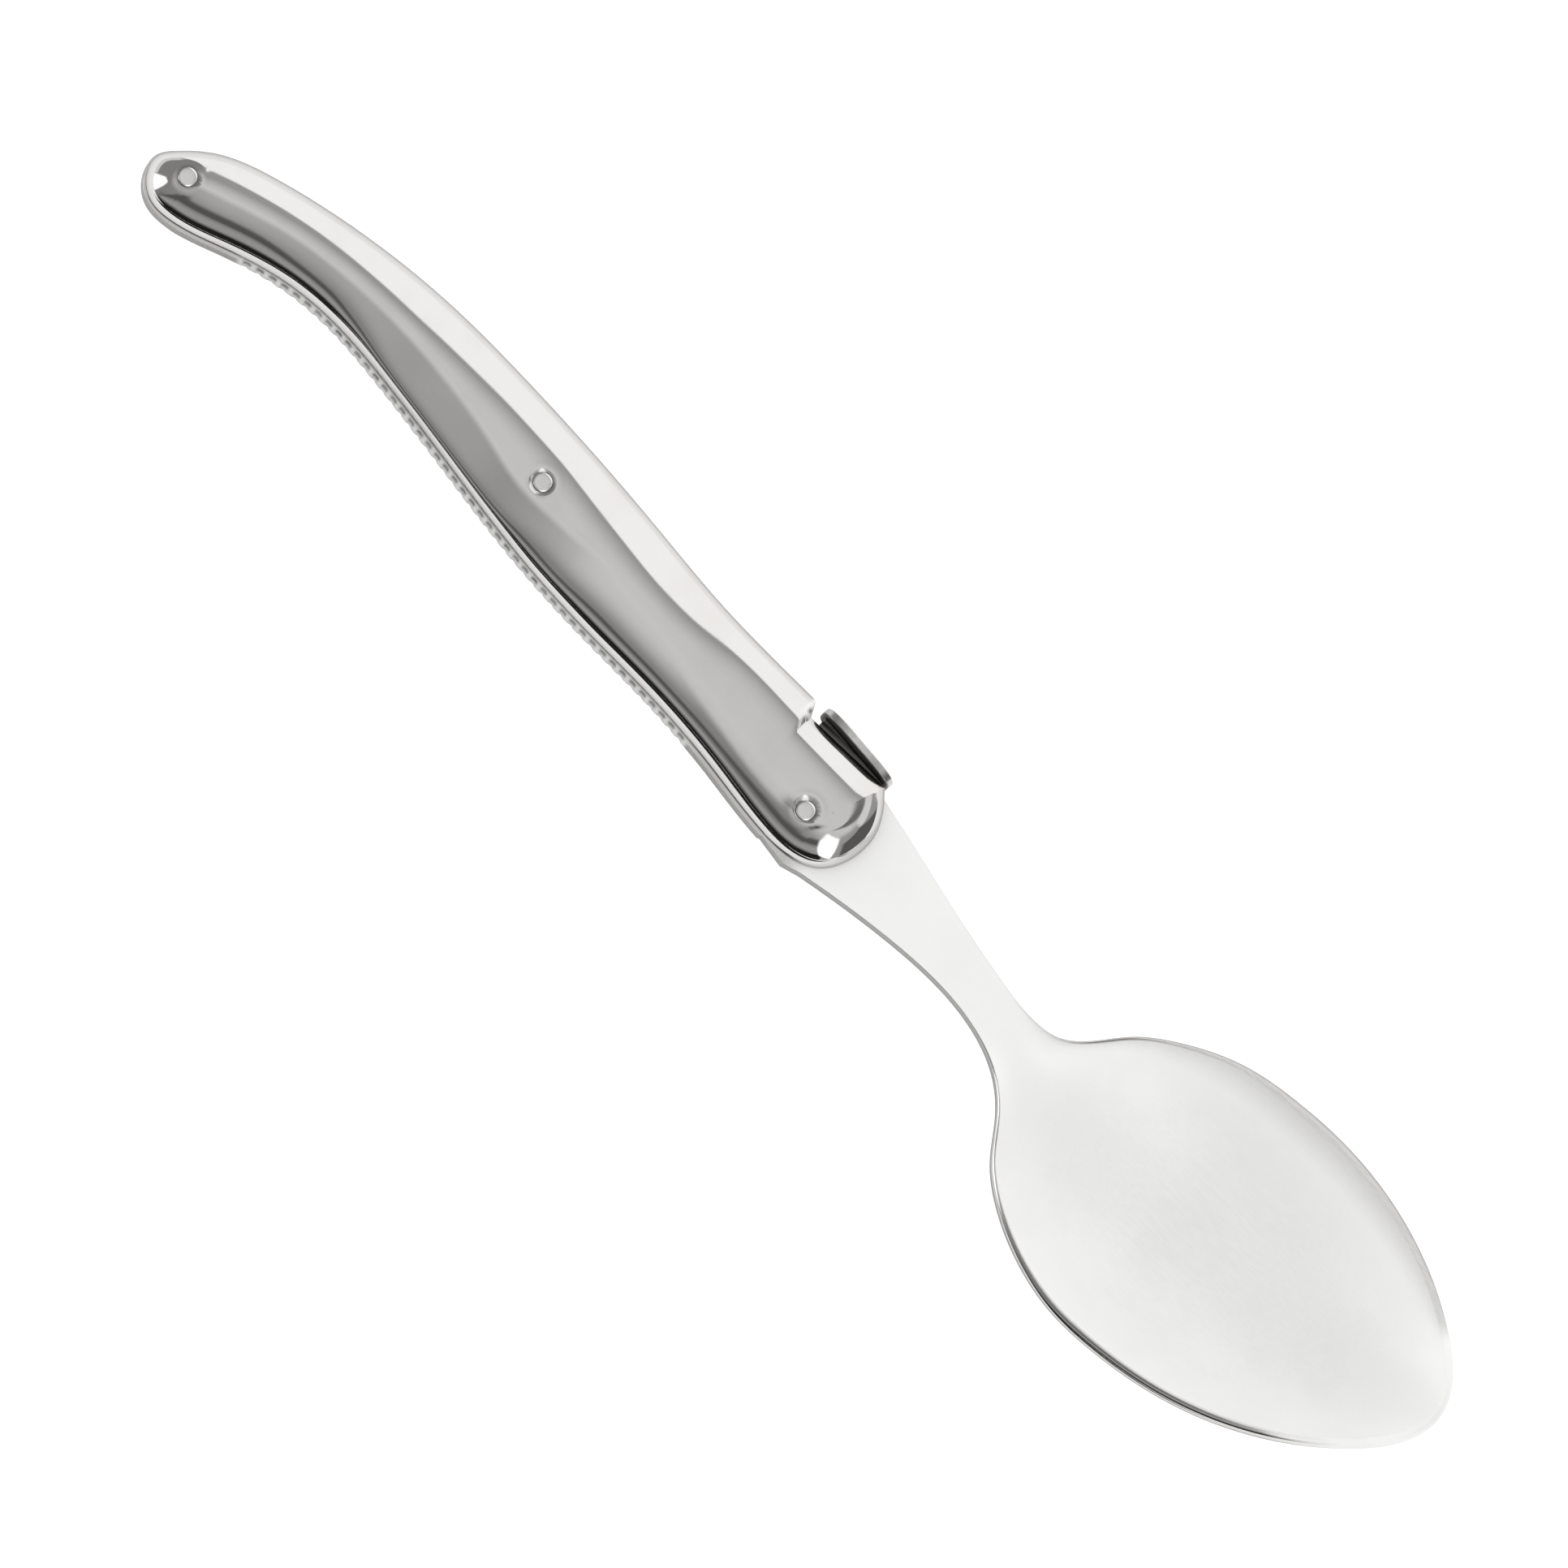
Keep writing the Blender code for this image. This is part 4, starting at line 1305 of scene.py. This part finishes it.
def panel(corners, feather):
    """Mask of the directions inside a flat panel whose corners are seen in these directions."""
    spots = [aim(*corner) for corner in corners]
    middle = sum(spots, Vector()).normalized()
    mask = 1.0
    for one, other in zip(spots, spots[1:] + spots[:1]):
        edge = one.cross(other).normalized()
        if edge.dot(middle) < 0:
            edge.negate()
        product = {"operation": "DOT_PRODUCT"}
        reach = world_node("ShaderNodeVectorMath", product, {0: way, 1: edge}, output="Value")
        mask = reach.between(-feather, feather) * mask
    return mask


ramp_low, ramp_high = -60, 120
room_tones = (
    (-24, 0.37), (-17, 0.52), (-9, 0.70), (0, 0.64), (12, 0.48), (20, 0.375), (30, 0.28),
    (52, 0.26), (66, 0.15), (80, 0.14), (88, 0.05),
)
ramp_span = ramp_high - ramp_low
stops = [((angle - ramp_low) / ramp_span, (tone, tone, tone, 1)) for angle, tone in room_tones]
turned_lean = (lean / math.radians(1) - ramp_low) / ramp_span
ramp = world_node("ShaderNodeValToRGB", {"stops": stops}, {"Fac": turned_lean})
tone = world_node("ShaderNodeSeparateColor", {}, {"Color": ramp}, output="Red")

tail_end_tone = 0.25
bowl_end_tone = 0.36
past_tail = east.between(-0.50, -0.25, 1.0, 0.0)
past_bowl = east.between(0.30, 0.50)
room = tone * (1 - past_tail) * (1 - past_bowl)
room = room + tail_end_tone * past_tail + bowl_end_tone * past_bowl

panels = {
    "low_wall_past_the_tail": (0.75, 0.06, ((134, 13), (205, 13), (205, -25), (134, -25))),
    "softbox_at_the_back": (
        1.10, 0.02,
        ((80, 63), (101, 65), (129, 22), (134, 0), (150, -40), (40, -40), (50, 20), (62, 59)),
    ),
    "light_by_the_bolster": (0.76, 0.04, ((62, 59), (58, 24), (24, 50), (34, 66))),
    "dark_slat_at_the_bolster": (0.17, 0.03, ((55, 53), (47, 62), (31, 75), (33, 80), (57, 80), (63, 71))),
    "dark_corner_past_the_bowl": (
        0.11, 0.04,
        ((48, -12), (42, 14), (24, 52), (4, 50), (-9, 46), (-18, 10), (-16, -15)),
    ),
    "dark_strip_at_the_belly": (0.10, 0.05, ((-108, 25), (-106, 36), (-50, 69), (-50, 56))),
    "light_strip_at_the_belly": (0.36, 0.05, ((-108, 11), (-107, 20), (-55, 50), (-55, 31))),
    "dark_doorway": (0.015, 0.04, ((-46, 27), (-108, 5), (-108, -20), (-46, -4))),
    "window_past_the_bowl": (
        1.4, 0.03,
        ((-12, 78), (-4, 64), (-20, 39), (-30, 1), (-52, 24), (-58, 46), (-56, 66)),
    ),
    "window_past_the_tail": (1.5, 0.04, ((209, 42), (222, 48), (230, 40), (236, 10), (233, -20), (204, -20))),
}
for level, feather, corners in panels.values():
    inside = panel(corners, feather)
    room = room * (1 - inside) + level * inside
glossy = world_node("ShaderNodeLightPath", output="Is Glossy Ray")
seen = glossy * room + (1 - glossy)
background = world_node("ShaderNodeBackground", {}, {"Color": (1, 1, 1, 1), "Strength": seen})
world_node("ShaderNodeOutputWorld", {}, {"Surface": background})
print("panels:", ", ".join(panels))

# %% [markdown]
# ## Camera
#
# The photograph was taken with a long lens, almost square onto the sheet and ten degrees towards the
# belly, with the spoon laid from the upper left to the lower right. The camera is turned by those
# angles in the sheet's frame and moved so that the front rivet falls where the photograph has it.

# %% Camera
photo_side = 1932
pixels_per_mm = 13.48
rivet_pixel = (992, 998)
view_lean = math.radians(10)
view_roll = math.radians(45)
camera_distance = 3.0
sensor = 36.0
frame_width = photo_side / pixels_per_mm * MM

back = Vector((0, -math.sin(view_lean), math.cos(view_lean)))
sheet_up = Vector((0, math.cos(view_lean), math.sin(view_lean)))
right = Vector((1, 0, 0)) * math.cos(view_roll) + sheet_up * math.sin(view_roll)
upward = Vector((-1, 0, 0)) * math.sin(view_roll) + sheet_up * math.cos(view_roll)
shift_right = (photo_side / 2 - rivet_pixel[0]) / pixels_per_mm * MM
shift_up = (rivet_pixel[1] - photo_side / 2) / pixels_per_mm * MM
look_at = right * shift_right + upward * shift_up
turned_camera = Matrix((right, upward, back)).transposed().to_4x4()

lens = bpy.data.cameras.new("long_lens")
lens.sensor_width = sensor
lens.lens = sensor * camera_distance / frame_width
camera = bpy.data.objects.new("camera", lens)
camera.matrix_world = to_world @ Matrix.Translation(look_at + back * camera_distance) @ turned_camera
bpy.context.scene.collection.objects.link(camera)
bpy.context.scene.camera = camera
bpy.context.scene.view_settings.view_transform = "Standard"
print("lens", round(lens.lens), "mm at", camera_distance, "m")
